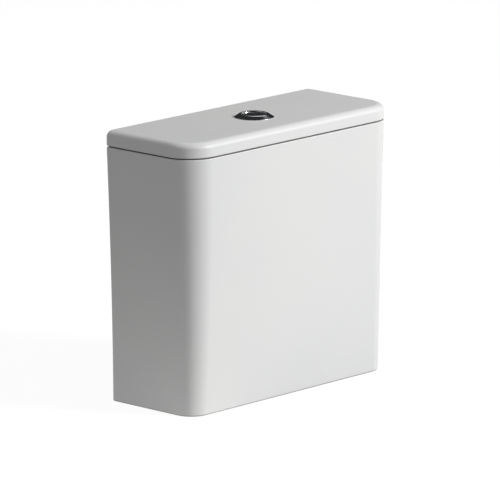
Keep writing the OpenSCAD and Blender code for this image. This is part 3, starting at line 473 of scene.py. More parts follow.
class Shop:
    """Mesh tools that the sub-assemblies share."""

    MERGE = 2e-6
    SPLINTER = 1e-6
    PAST = 3 * MM
    SHARP_DEG = 40.0

    @staticmethod
    def piece(name: str, points: Sequence[Vector], faces: Sequence[Sequence[int]]) -> Piece:
        """Makes an object from points and faces.

        Args:
            name: The piece's name.
            points: Corner points.
            faces: Lists of point numbers.

        Returns:
            The object.
        """
        mesh = bpy.data.meshes.new(name)
        mesh.from_pydata([tuple(p) for p in points], [], [tuple(f) for f in faces])
        made = Shop.link(name, mesh)
        Shop.clean(made)
        return made

    @staticmethod
    def link(name: str, data: bpy.types.ID) -> Piece:
        """Puts a mesh, a lamp or a camera into the scene."""
        made = bpy.data.objects.new(name, data)
        bpy.context.scene.collection.objects.link(made)
        return made

    @staticmethod
    def clean(piece: Piece) -> None:
        """Merges doubled points, turns faces outwards and smooths all but the sharp edges.

        Args:
            piece: The piece.
        """
        work = bmesh.new()
        work.from_mesh(piece.data)
        bmesh.ops.remove_doubles(work, verts=work.verts, dist=Shop.MERGE)
        bmesh.ops.dissolve_degenerate(work, edges=work.edges, dist=Shop.SPLINTER)
        bmesh.ops.recalc_face_normals(work, faces=work.faces)
        work.to_mesh(piece.data)
        work.free()
        stored = piece.data.attributes.get("custom_normal")
        if stored:
            piece.data.attributes.remove(stored)
        piece.data.shade_smooth()
        piece.data.set_sharp_from_angle(angle=math.radians(Shop.SHARP_DEG))

    @staticmethod
    def bake(piece: Piece) -> None:
        """Turns a piece's modifiers into its mesh.

        Args:
            piece: The piece.
        """
        bpy.context.view_layer.update()
        graph = bpy.context.evaluated_depsgraph_get()
        mesh = bpy.data.meshes.new_from_object(piece.evaluated_get(graph))
        piece.modifiers.clear()
        piece.data = mesh
        Shop.clean(piece)

    @staticmethod
    def combine(piece: Piece, operation: str, tools: Sequence[Piece]) -> None:
        """Cuts a piece with tools, or joins them to it, and removes the tools.

        Args:
            piece: The piece.
            operation: DIFFERENCE, INTERSECT or UNION.
            tools: Closed solids.
        """
        for tool in tools:
            change = piece.modifiers.new(operation.lower(), "BOOLEAN")
            change.operation = operation
            change.solver = "EXACT"
            change.object = tool
        Shop.bake(piece)
        for tool in tools:
            bpy.data.objects.remove(tool)

    @staticmethod
    def soften(piece: Piece, width: float, steps: int = 3, angle_deg: float = SHARP_DEG) -> None:
        """Rounds a new piece's edges for good, with the arguments of round_edges."""
        Shop.round_edges(piece, width, steps, angle_deg)
        Shop.bake(piece)

    @staticmethod
    def round_edges(piece: Piece, width: float, steps: int = 2, angle_deg: float = 35.0) -> None:
        """Adds a bevel to an object.

        Args:
            piece: A piece or a CAD node.
            width: Width of the rounding.
            steps: Faces across it.
            angle_deg: Edges that bend more than this are rounded.
        """
        bevel = piece.modifiers.new("rounding", "BEVEL")
        bevel.width = width
        bevel.segments = steps
        bevel.limit_method = "ANGLE"
        bevel.angle_limit = math.radians(angle_deg)
        bevel.harden_normals = True

    @staticmethod
    def loft(name: str, rings: Sequence[Ring]) -> Piece:
        """Makes a closed solid through rings with equal counts of points.

        Args:
            name: The piece's name.
            rings: The rings, from one capped end to the other.

        Returns:
            The object.
        """
        count = len(rings[0])
        points = [p for ring in rings for p in ring]
        faces = []
        for k in range(len(rings) - 1):
            for i in range(count):
                a, b = k * count + i, k * count + (i + 1) % count
                faces.append((a, b, b + count, a + count))
        faces.append(tuple(range(count - 1, -1, -1)))
        faces.append(tuple(range((len(rings) - 1) * count, len(rings) * count)))
        return Shop.piece(name, points, faces)

    @staticmethod
    def fillet(corners: Sequence[Triple], steps: int = 6) -> list[Pair]:
        """Rounds the corners of a closed profile.

        Args:
            corners: Radius and height of each corner, and the radius of its rounding.
            steps: Faces round each corner.

        Returns:
            The profile's points.
        """
        points: list[Pair] = []
        for i, (x, y, r) in enumerate(corners):
            here = Vector((x, y))
            if r == 0:
                points.append((x, y))
                continue
            before = (Vector(corners[i - 1][:2]) - here).normalized()
            after = (Vector(corners[(i + 1) % len(corners)][:2]) - here).normalized()
            half = before.angle(after) / 2
            middle = here + (before + after).normalized() * r / math.sin(half)
            start = (here + before * r / math.tan(half) - middle).normalized()
            end = (here + after * r / math.tan(half) - middle).normalized()
            points += [tuple(middle + start.slerp(end, k / steps) * r) for k in range(steps + 1)]
        return points

    @staticmethod
    def revolve(name: str, profile: Sequence[Pair], centre: Pair, steps: int,
                radius: Optional[Callable[[float, float, float], float]] = None) -> Piece:
        """Turns a closed profile round an upright axis.

        Args:
            name: The piece's name.
            profile: Radius and height of each corner, in order.
            centre: Place of the axis.
            steps: Faces round the axis.
            radius: Changes a radius at a height and an angle, for threads and flutes.

        Returns:
            The object.
        """
        points = []
        for i in range(steps):
            turn = 2 * math.pi * i / steps
            for r, z in profile:
                bent = radius(r, z, turn) if radius else r
                x, y = centre[0] + bent * math.cos(turn), centre[1] + bent * math.sin(turn)
                points.append(Vector((x, y, z)))
        count = len(profile)
        faces = []
        for i in range(steps):
            for k in range(count):
                a, b = i * count + k, i * count + (k + 1) % count
                c, d = (i + 1) % steps * count + k, (i + 1) % steps * count + (k + 1) % count
                faces.append((a, c, d, b))
        return Shop.piece(name, points, faces)

    @staticmethod
    def sweep(name: str, path: Sequence[Vector], radius: float, sides: int = 12) -> Piece:
        """Draws a round wire along a path that climbs round the Z axis.

        Args:
            name: The piece's name.
            path: Points of the middle line.
            radius: The wire's radius.
            sides: Faces round the wire.

        Returns:
            The object.
        """
        rings = []
        for i, point in enumerate(path):
            ahead = (path[min(i + 1, len(path) - 1)] - path[max(i - 1, 0)]).normalized()
            side = ahead.cross(Vector((0, 0, 1))).normalized()
            rings.append(Shop.circle(point, side, side.cross(ahead), radius, sides))
        return Shop.loft(name, rings)

    @staticmethod
    def circle(middle: Vector, side: Vector, up: Vector, radius: float, sides: int) -> Ring:
        """Points round a middle in the plane of two unit vectors."""
        turns = [2 * math.pi * s / sides for s in range(sides)]
        return [middle + radius * (side * math.cos(a) + up * math.sin(a)) for a in turns]

    @staticmethod
    def rod(start: Vector, end: Vector, radius: float, sides: int = 96) -> Piece:
        """Makes a plain round cutter.

        Args:
            start: Middle of one end.
            end: Middle of the other end.
            radius: Its radius.
            sides: Faces round it.

        Returns:
            The object.
        """
        axis = (end - start).normalized()
        side = axis.orthogonal().normalized()
        rings = [Shop.circle(p, side, axis.cross(side), radius, sides) for p in (start, end)]
        return Shop.loft("cutter", rings)

    @staticmethod
    def hole(start: Vector, through: Vector, radius: float) -> Piece:
        """A cutter for a hole from a point on one face, through to the other face and past both."""
        past = through.normalized() * Shop.PAST
        return Shop.rod(start - past, start + through + past, radius)


def arc(cx: float, cy: float, r: float, start_deg: float, end_deg: float, steps: int) -> list[Pair]:
    """Points of an arc in a plane, cut into a number of steps."""
    turns = [math.radians(start_deg + (end_deg - start_deg) * i / steps) for i in range(steps + 1)]
    return [(cx + r * math.cos(t), cy + r * math.sin(t)) for t in turns]


@dataclass
class China:
    """The tank and the lid: two lofted shells of glazed china."""

    palette: Palette
    wall: float = 10 * MM
    floor_t: float = 12 * MM
    recess_h: float = 28 * MM
    foot_w: float = 361 * MM
    foot_d: float = 138 * MM
    corner_r: float = 40 * MM
    foot_corner_r: float = 26 * MM
    back_r: float = 4 * MM
    inside_r: float = 9 * MM
    side_flare: float = 1.7
    front_flare: float = 0.7
    foot_edge_r: float = 2.5 * MM
    rim_edge_r: float = 1.2 * MM
    floor_edge_r: float = 12 * MM
    hole_gap: float = 2 * MM
    hole_edge: float = 1 * MM
    lid_t: float = 9 * MM
    lid_edge_w: float = 10.5 * MM
    lid_edge_h: float = 7.5 * MM
    lid_small_r: float = 1.5 * MM
    seam_gap: float = 1.4 * MM
    seat_w: float = 5 * MM
    lip_h: float = 5 * MM
    lip_t: float = 5 * MM
    lip_gap: float = 1.5 * MM
    lip_r: float = 1.2 * MM
    least_rear_r: float = 1 * MM
    least_front_r: float = 4 * MM
    levels: int = 30
    keep_off: float = 1.5
    corner_steps: int = 28
    rear_steps: int = 6
    edge_steps: int = 8
    side_parts: int = 10
    front_parts: int = 24

    def __post_init__(self) -> None:
        """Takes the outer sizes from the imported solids."""
        low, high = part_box("tank")
        self.rim = high.z
        self.back = high.y
        self.depth = high.y - low.y
        low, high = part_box("lid")
        self.width = high.x - low.x
        self.lid_top = high.z
        self.lid_base = self.rim + self.seam_gap
        self.floor = self.recess_h + self.floor_t

    def level(self, half_w: float, front: float, back: float, front_r: float, rear_r: float,
              z: float) -> Ring:
        """One level of the china: straight at the back, wide corners at the front.

        Args:
            half_w: Half the width.
            front: Place of the front.
            back: Place of the back.
            front_r: Radius of the front corners.
            rear_r: Radius of the back corners.
            z: Height.

        Returns:
            The outline's points.
        """
        corners = [
            (rear_r - half_w, back - rear_r, rear_r, 90, self.rear_steps),
            (front_r - half_w, front + front_r, front_r, 180, self.corner_steps),
            (half_w - front_r, front + front_r, front_r, 270, self.corner_steps),
            (half_w - rear_r, back - rear_r, rear_r, 0, self.rear_steps),
        ]
        spans = (self.side_parts, self.front_parts) * 2
        arcs = [arc(cx, cy, r, start, start + 90, steps) for cx, cy, r, start, steps in corners]
        flat: list[Pair] = []
        for bend, following, parts in zip(arcs, arcs[1:] + arcs[:1], spans):
            flat += bend + self._between(bend[-1], following[0], parts)
        return [Vector((x, y, z)) for x, y in flat]

    @staticmethod
    def _between(first: Pair, last: Pair, parts: int) -> list[Pair]:
        """Points inside a straight stretch, without its ends."""
        shares = [i / parts for i in range(1, parts)]
        return [(first[0] + (last[0] - first[0]) * t, first[1] + (last[1] - first[1]) * t) for t in shares]

    def rear_r(self, inset: float) -> float:
        """Radius of the back corners at an inset: small outside, rounder inside the wall."""
        return max(self.back_r - inset, self.least_rear_r) if inset < self.wall else self.inside_r

    def tank_level(self, inset: float, z: float) -> Ring:
        """The tank's outline at a height.

        Args:
            inset: Distance inwards from the outside.
            z: Height.

        Returns:
            The outline's points.
        """
        share = z / self.rim
        half_w = (self.foot_w + (self.width - self.foot_w) * share ** self.side_flare) / 2 - inset
        depth = self.foot_d + (self.depth - self.foot_d) * share ** self.front_flare
        front_r = self.foot_corner_r + (self.corner_r - self.foot_corner_r) * share
        front_r = max(front_r - inset, self.least_front_r)
        front, back = self.back - depth + inset, self.back - inset
        return self.level(half_w, front, back, front_r, self.rear_r(inset), z)

    def tank_section(self) -> list[Pair]:
        """The wall's section as inset and height, from under the floor to its top."""
        wall, edge, steps = self.wall, self.foot_edge_r, self.edge_steps
        recess_r = edge * 2
        heights = [self.rim * i / self.levels for i in range(1, self.levels)]
        top = self.rim - self.rim_edge_r * self.keep_off
        floor_r, floor_top = self.floor_edge_r, self.floor + self.floor_edge_r
        outside = [(0.0, z) for z in heights if edge * self.keep_off < z < top]
        inside = [(wall, z) for z in reversed(heights) if self.floor + floor_r * self.keep_off < z < top]
        return (
            arc(wall + recess_r, self.recess_h - recess_r, recess_r, 90, 180, steps)
            + arc(wall - edge, edge, edge, 0, -90, steps)
            + arc(edge, edge, edge, -90, -180, steps)
            + outside
            + arc(self.rim_edge_r, self.rim - self.rim_edge_r, self.rim_edge_r, 180, 90, steps)
            + arc(wall - self.rim_edge_r, self.rim - self.rim_edge_r, self.rim_edge_r, 90, 0, steps)
            + inside
            + arc(wall + floor_r, floor_top, floor_r, 180, 270, steps)
        )

    def build_tank(self, tail_r: float) -> None:
        """Builds the tank with its holes.

        Args:
            tail_r: Radius of the flush valve's tail.
        """
        tank = Shop.loft("tank_china", [self.tank_level(inset, z) for inset, z in self.tank_section()])
        mounts = {m["name"]: m for m in frame["record"]["mounts"]}
        shank = mounts["inlet_shank"]
        low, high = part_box("outlet_seat")
        tools = [
            self.floor_hole((low + high) / 2, tail_r),
            self.floor_hole(Vector(shank["pos_m"]), shank["dims"]["r_mm"] * MM),
        ]
        tools += self.bolt_holes(mounts["pan_bolts"], Vector((0, 0, self.floor_t)))
        tools += self.bolt_holes(mounts["wall_screws"], Vector((0, -self.wall, 0)))
        Shop.combine(tank, "DIFFERENCE", tools)
        Shop.soften(tank, self.hole_edge)
        self.palette.add(tank, Slot.CHINA, "tank", "tank")

    def floor_hole(self, middle: Vector, radius: float) -> Piece:
        """A cutter for the hole round a tail that passes the floor."""
        start = Vector((middle.x, middle.y, self.recess_h))
        return Shop.hole(start, Vector((0, 0, self.floor_t)), radius + self.hole_gap)

    @staticmethod
    def bolt_holes(mount: dict, through: Vector) -> list[Piece]:
        """Cutters for two holes side by side.

        Args:
            mount: The record's mount, with their place, spacing and radius.
            through: From the mount's face to the other one.

        Returns:
            The cutters.
        """
        middle, sizes = Vector(mount["pos_m"]), mount["dims"]
        aside = Vector((sizes["spacing_x_mm"] * MM / 2, 0, 0))
        return [Shop.hole(middle + side * aside, through, sizes["hole_r_mm"] * MM) for side in (-1, 1)]

    def lid_level(self, inset: float, back_inset: float, z: float) -> Ring:
        """The lid's outline at a height, with its own inset at the straight back."""
        front_r, half_d = max(self.corner_r - inset, self.least_front_r), self.depth / 2
        return self.level(self.width / 2 - inset, inset - half_d, half_d - back_inset, front_r,
                          self.rear_r(back_inset), z)

    def lid_section(self) -> list[Triple]:
        """The lid's section as inset, back inset and height, from under its top to its top."""
        steps, small = self.edge_steps, self.lid_small_r
        ceiling = self.lid_top - self.lid_t
        lip_out = self.wall + self.lip_gap
        lip_in = lip_out + self.lip_t
        seat_in = lip_out - self.seat_w
        under, lip_r = small * 2, self.lip_r
        lip_base = self.rim - self.lip_h
        even = (
            arc(lip_in + under, ceiling - under, under, 90, 180, steps)
            + arc(lip_in - lip_r, lip_base + lip_r, lip_r, 0, -90, steps)
            + arc(lip_out + lip_r, lip_base + lip_r, lip_r, -90, -180, steps)
            + [(lip_out, self.rim), (seat_in, self.rim), (seat_in, self.lid_base)]
            + arc(small, self.lid_base + small, small, -90, -180, steps)
        )
        turns = [math.radians(90 * i / (steps * 2)) for i in range(steps * 2 + 1)]
        top = [(self.lid_edge_w * (1 - math.cos(t)), small * (1 - math.cos(t)),
                self.lid_top - self.lid_edge_h * (1 - math.sin(t))) for t in turns]
        return [(inset, inset, z) for inset, z in even] + top

    def build_lid(self, hole_r: float, centre: Pair) -> None:
        """Builds the lid with the hole for the button set.

        Args:
            hole_r: Radius of the hole.
            centre: Place of the hole.
        """
        lid = Shop.loft("lid_china", [self.lid_level(*step) for step in self.lid_section()])
        top = Vector((*centre, self.lid_top))
        Shop.combine(lid, "DIFFERENCE", [Shop.hole(top, Vector((0, 0, -self.lid_t)), hole_r)])
        self.palette.add(lid, Slot.CHINA, "lid", "lid")


@dataclass
class ButtonSet:
    """The chrome bezel, the two buttons, the housing and the return springs."""

    palette: Palette
    well_r: float = 16.6 * MM
    edge_h: float = 0.6 * MM
    edge_round: float = 0.7 * MM
    foot_round: float = 0.175 * MM
    skirt_round: float = 0.3 * MM
    crown_w: float = 2.2 * MM
    crown_slope: float = 0.09
    crown_round: float = 4.6 * MM
    lip_w: float = 0.3 * MM
    lip_round: float = 0.1 * MM
    bezel_t: float = 1.2 * MM
    flange_t: float = 1 * MM
    flange_w: float = 2.6 * MM
    barrel_t: float = 1.4 * MM
    floor_t: float = 2.5 * MM
    slide_gap: float = 0.3 * MM
    thread_gap: float = 0.2 * MM
    dish_h: float = 1.8 * MM
    split_r: float = 20 * MM
    split_x: float = 2 * MM
    rod_x: float = 9 * MM
    rod_r: float = 2.5 * MM
    boss_r: float = 3.9 * MM
    boss_h: float = 6 * MM
    wire_r: float = 0.5 * MM
    turns: float = 6.5
    coil_steps: int = 28
    closed_share: float = 0.09
    closed_rise: float = 0.12
    travel: float = 7 * MM
    pitch: float = 2.5 * MM
    thread_depth: float = 0.5 * MM
    thread_lead: float = 1 * MM
    thread_stop: float = 4 * MM
    barrel_edge: float = 0.6 * MM
    button_edge: float = 0.5 * MM
    dish_steps: int = 16
    split_edge: float = 0.4 * MM
    split_steps: int = 4
    split_angle_deg: float = 50.0
    split_past: float = 2 * MM
    boss_sink: float = 0.2 * MM
    moulded_edge: float = 0.4 * MM

    def __post_init__(self) -> None:
        """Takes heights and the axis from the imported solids."""
        low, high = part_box("button_bezel")
        self.centre = ((low.x + high.x) / 2, (low.y + high.y) / 2)
        self.bezel_r = (high.x - low.x) / 2
        self.skirt_base = low.z
        self.crown_z = high.z
        low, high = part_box("button_housing")
        self.lid_top = high.z - self.flange_t
        self.barrel_base = low.z
        self.barrel_r = self.well_r + self.bezel_t + self.thread_gap + self.barrel_t
        low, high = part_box("full_flush_button")
        self.button_top = high.z
        self.button_base = low.z + self.boss_h
        low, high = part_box("full_button_spring")
        self.spring_base = low.z
        self.spring_top = high.z

    def build(self) -> None:
        """Builds the whole set."""
        self.build_bezel()
        self.build_housing()
        for side in Side:
            self.build_button(side)
            self.build_spring(side)
        names = ("button_locknut", "full_push_rod", "half_push_rod")
        self.palette.keep(Slot.WHITE, self.moulded_edge, *names)

    def rod_place(self, side: Side) -> Pair:
        """Place of a button's rod."""
        return self.centre[0] + side.value * self.rod_x, self.centre[1]

    def build_bezel(self) -> None:
        """Turns the bezel: a conical ring with a bevelled crown and a skirt round the well."""
        shell_r = self.barrel_r + self.flange_w + self.thread_gap
        shell_top = self.lid_top + self.flange_t + self.thread_gap
        skirt_r = self.well_r + self.bezel_t
        crest_r = self.well_r + self.crown_w
        lip_r = self.well_r + self.lip_w
        lip_z = self.crown_z - (crest_r - lip_r) * self.crown_slope
        profile = Shop.fillet([
            (shell_r, self.lid_top, 0.0),
            (self.bezel_r, self.lid_top, self.foot_round),
            (self.bezel_r, self.lid_top + self.edge_h, self.edge_round),
            (crest_r, self.crown_z, self.crown_round),
            (lip_r, lip_z, self.lip_round),
            (self.well_r, lip_z - self.lip_w, self.lip_round),
            (self.well_r, self.skirt_base, self.skirt_round),
            (skirt_r, self.skirt_base, self.skirt_round),
            (skirt_r, shell_top, 0.0),
            (shell_r, shell_top, 0.0),
        ])
        bezel = Shop.revolve("bezel_chrome", profile, self.centre, steps=192)
        self.palette.add(bezel, Slot.CHROME, "lid", "button_bezel")

    def build_housing(self) -> None:
        """Turns the housing with its threaded barrel and bores its floor for the rods."""
        base, top = self.barrel_base, self.lid_top
        inner = self.barrel_r - self.barrel_t
        floor = base + self.floor_t
        flange_r, flange_top = self.barrel_r + self.flange_w, top + self.flange_t
        low, high = base + self.thread_lead, top - self.thread_stop
        thread = Thread(self.barrel_r, low, high, self.pitch, self.thread_depth)
        profile = (
            [(0.0, base), (self.barrel_r - self.barrel_edge, base)]
            + thread.steps()
            + [(self.barrel_r, top), (flange_r, top), (flange_r, flange_top)]
            + [(inner, flange_top), (inner, floor), (0.0, floor)]
        )
        housing = Shop.revolve("button_housing_shell", profile, self.centre, steps=96, radius=thread.bend)
        through, bore_r = Vector((0, 0, self.floor_t)), self.rod_r + self.slide_gap
        bores = [Shop.hole(Vector((*self.rod_place(side), base)), through, bore_r) for side in Side]
        Shop.combine(housing, "DIFFERENCE", bores)
        self.palette.add(housing, Slot.GREY, "lid", "button_housing")

    def build_button(self, side: Side) -> None:
        """Cuts one button from a dished disc and gives it the boss for its rod.

        Args:
            side: The button.
        """
        radius, edge, base = self.well_r - self.slide_gap, self.button_edge, self.button_base
        dish_r = (radius ** 2 + self.dish_h ** 2) / (2 * self.dish_h)
        dish = []
        for i in range(self.dish_steps + 1):
            r = (radius - edge) * (1 - i / self.dish_steps)
            dish.append((r, self.button_top - self.dish_h + dish_r - math.sqrt(dish_r ** 2 - r ** 2)))
        profile = (
            [(0.0, base), (radius - edge, base), (radius, base + edge)]
            + arc(radius - edge, dish[0][1] - edge, edge, 0, 90, steps=6)[:-1]
            + dish
        )
        word = side.word
        button = Shop.revolve(f"{word}_button_chrome", profile, self.centre, steps=160)
        middle = Vector((self.centre[0] - self.split_x - self.split_r, self.centre[1], 0))
        low = middle + Vector((0, 0, base - self.split_past))
        high = middle + Vector((0, 0, self.button_top + self.split_past))
        split = Shop.rod(low, high, self.split_r + self.slide_gap * side.value, sides=256)
        Shop.combine(button, "DIFFERENCE" if side is Side.FULL else "INTERSECT", [split])
        Shop.soften(button, self.split_edge, self.split_steps, self.split_angle_deg)
        bore_r, boss_base = self.rod_r + self.thread_gap / 2, base - self.boss_h
        boss_top = base + self.boss_sink
        outline = [(bore_r, boss_base), (self.boss_r, boss_base), (self.boss_r, boss_top), (bore_r, boss_top)]
        Shop.combine(button, "UNION", [Shop.revolve("boss", outline, self.rod_place(side), steps=48)])
        self.palette.add(button, Slot.CHROME, f"{word}_button", f"{word}_flush_button")

    def build_spring(self, side: Side) -> None:
        """Winds one return spring with closed ends.

        Args:
            side: The button that it lifts.
        """
        coil_r = self.boss_r + self.slide_gap + self.wire_r * 2
        x, y = self.rod_place(side)
        low, high = self.spring_base + self.wire_r, self.spring_top - self.wire_r
        count = int(self.turns * self.coil_steps)
        path = []
        for i in range(count + 1):
            share = i / count
            turn = 2 * math.pi * self.turns * share
            climb = min(max((share - self.closed_share) / (1 - 2 * self.closed_share), 0.0), 1.0)
            z = low + (high - low) * (climb + self.closed_rise * (share - climb))
            path.append(Vector((x + coil_r * math.cos(turn), y + coil_r * math.sin(turn), z)))
        word = side.word
        spring = Shop.sweep(f"{word}_return_spring", path, self.wire_r)
        self.palette.add(spring, Slot.STEEL, "lid", f"{word}_button_spring")
        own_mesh(spring)


@dataclass(frozen=True)
class Thread:
    """A rounded screw thread on the outside of a turned piece."""

    radius: float
    low: float
    high: float
    pitch: float
    depth: float
    parts: int = 8
    fullness: float = 0.7
    same_r: float = 1e-7

    def steps(self) -> list[Pair]:
        """The profile's points along the thread, from its lower end up."""
        count = max(int((self.high - self.low) / self.pitch * self.parts), 2)
        return [(self.radius, self.low + (self.high - self.low) * i / count) for i in range(count + 1)]

    def bend(self, r: float, z: float, turn: float) -> float:
        """Cuts the thread at one point; other radii than the thread's stay as they are.

        Args:
            r: Radius of the point.
            z: Its height.
            turn: Its angle round the axis.

        Returns:
            The new radius.
        """
        if abs(r - self.radius) > self.same_r or not self.low <= z <= self.high:
            return r
        phase = (z - self.low) / self.pitch - turn / (2 * math.pi)
        ends = min(1.0, (z - self.low) / self.pitch, (self.high - z) / self.pitch)
        wave = 0.5 - 0.5 * math.cos(2 * math.pi * phase)
        return r - self.depth * wave ** self.fullness * max(ends, 0.0)


@dataclass
class FlushValve:
    """The flush valve: its solids get rounded edges and finishes, and the seat gets its thread."""

    palette: Palette
    edge: float = 0.4 * MM
    outlet_r: float = 25 * MM
    tail_r: float = 29.8 * MM
    flange_base: float = 43 * MM
    flange_top: float = 47 * MM
    flange_r: float = 42 * MM
    cup_r: float = 33 * MM
    lip_w: float = 3 * MM
    lip_h: float = 2 * MM
    lip_taper: float = 0.9 * MM
    pitch: float = 2.31 * MM
    thread_depth: float = 0.8 * MM
    lugs: int = 3
    lug_turn_deg: float = 90.0
    lug_r: float = 38.9 * MM
    lug_w: float = 10 * MM
    lug_z: Pair = (51.3 * MM, 54.7 * MM)
    lug_sink: float = 0.8 * MM

    def build(self) -> None:
        """Turns the seat and dresses the valve's other nodes."""
        self.build_seat()
        keep, edge = self.palette.keep, self.edge
        keep(Slot.WHITE, edge, "outlet_backnut", "valve_tower", "full_plunger", "full_lever")
        keep(Slot.WHITE, edge, "overflow_tube", "seal_carrier", "seal_clamp", "half_float_strap")
        keep(Slot.GREY, edge, "valve_head", "head_bridge", "lift_collar")
        keep(Slot.BLUE, edge, "half_plunger", "half_lever", "half_float")
        keep(Slot.RUBBER, edge, "outlet_washer", "pan_seal")
        keep(Slot.SILICONE, edge, "flush_seal")
        keep(Slot.STEEL, edge, "lever_pins")

    def build_seat(self) -> None:
        """Turns the outlet seat with its threaded tail and adds the lugs that hold the tower."""
        low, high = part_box("outlet_seat")
        middle = (low + high) / 2
        edge, lip_base, lip_r = self.edge, high.z - self.lip_h, self.outlet_r + self.lip_w
        start, end = low.z + self.pitch, self.flange_base - self.pitch
        thread = Thread(self.tail_r, start, end, self.pitch, self.thread_depth)
        profile = Shop.fillet(
            [(self.outlet_r, low.z, edge), (self.tail_r - self.thread_depth, low.z, edge)]
            + [(r, z, 0.0) for r, z in thread.steps()]
            + [(self.tail_r, self.flange_base, 0.0), (self.flange_r, self.flange_base, edge)]
            + [(self.flange_r, self.flange_top, edge), (self.cup_r, self.flange_top, edge)]
            + [(self.cup_r, lip_base, edge), (lip_r, lip_base, edge)]
            + [(lip_r - self.lip_taper, high.z, edge), (self.outlet_r + self.lip_taper, high.z, edge)]
            + [(self.outlet_r, lip_base, 0.0)]
        )
        seat = Shop.revolve("outlet_seat_turned", profile, tuple(middle.xy), steps=144, radius=thread.bend)
        turns = [self.lug_turn_deg + 360 * i / self.lugs for i in range(self.lugs)]
        Shop.combine(seat, "UNION", [self.lug(middle, turn) for turn in turns])
        self.palette.add(seat, Slot.WHITE, "tank", "outlet_seat")

    def lug(self, middle: Vector, turn_deg: float) -> Piece:
        """One bayonet lug on the seat's cup.

        Args:
            middle: A point on the seat's axis.
            turn_deg: The lug's direction.

        Returns:
            The lug, with rounded edges.
        """
        turn = math.radians(turn_deg)
        ahead = Vector((math.cos(turn), math.sin(turn), 0))
        side = Vector((-ahead.y, ahead.x, 0)) * self.lug_w / 2
        near, far = ahead * (self.cup_r - self.lug_sink), ahead * self.lug_r
        axis = Vector((middle.x, middle.y, 0))
        rings = [[axis + p + Vector((0, 0, z)) for p in (near - side, far - side, far + side, near + side)]
                 for z in self.lug_z]
        made = Shop.loft("lug", rings)
        Shop.soften(made, self.edge)
        return made


@dataclass
class FillValve:
    """The fill valve: its solids get rounded edges and finishes, and the shank gets its thread."""

    palette: Palette
    edge: float = 0.4 * MM
    bore_r: float = 6.5 * MM
    shank_r: float = 10.48 * MM
    riser_r: float = 9.5 * MM
    groove_z: Pair = (18.5 * MM, 20 * MM)
    groove_h: float = 1.5 * MM
    flange_base: float = 43 * MM
    flange_top: float = 47 * MM
    flange_r: float = 19 * MM
    pitch: float = 1.81 * MM
    thread_depth: float = 0.6 * MM

    def build(self) -> None:
        """Turns the riser and dresses the valve's other nodes."""
        self.build_riser()
        keep, edge = self.palette.keep, self.edge
        keep(Slot.WHITE, edge, "fill_backnut", "fill_head", "fill_link_rod")
        keep(Slot.GREY, edge, "fill_sleeve", "fill_lever")
        keep(Slot.BLUE, edge, "inlet_strainer", "fill_cap")
        keep(Slot.BLACK, edge, "fill_float")
        keep(Slot.RUBBER, edge, "fill_washer", "fill_diaphragm")
        keep(Slot.STEEL, edge, "fill_lever_pin")

    def build_riser(self) -> None:
        """Turns the riser with its threaded shank and its flange."""
        low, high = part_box("fill_riser")
        middle = (low + high) / 2
        edge, groove_r = self.edge, self.shank_r - self.groove_h
        start, end = low.z + self.pitch / 2, self.groove_z[0]
        thread = Thread(self.shank_r, start, end, self.pitch, self.thread_depth)
        profile = Shop.fillet(
            [(self.bore_r, low.z, edge), (self.shank_r - self.thread_depth, low.z, edge)]
            + [(r, z, 0.0) for r, z in thread.steps()]
            + [(groove_r, self.groove_z[0], edge), (groove_r, self.groove_z[1], edge)]
            + [(self.shank_r, self.groove_z[1], edge), (self.shank_r, self.flange_base, 0.0)]
            + [(self.flange_r, self.flange_base, edge), (self.flange_r, self.flange_top, edge)]
            + [(self.riser_r, self.flange_top, edge), (self.riser_r, high.z, edge)]
            + [(self.bore_r, high.z, edge)]
        )
        riser = Shop.revolve("fill_riser_turned", profile, tuple(middle.xy), steps=96, radius=thread.bend)
        self.palette.add(riser, Slot.WHITE, "tank", "fill_riser")


@dataclass(frozen=True)
class Glow:
    """A soft-edged light area: a direction in the sky or a place on the floor.

    The reach is where the light fades: cosines from its middle in the sky, metres on the floor.
    """

    middle: Vector
    reach: Pair
    level: float


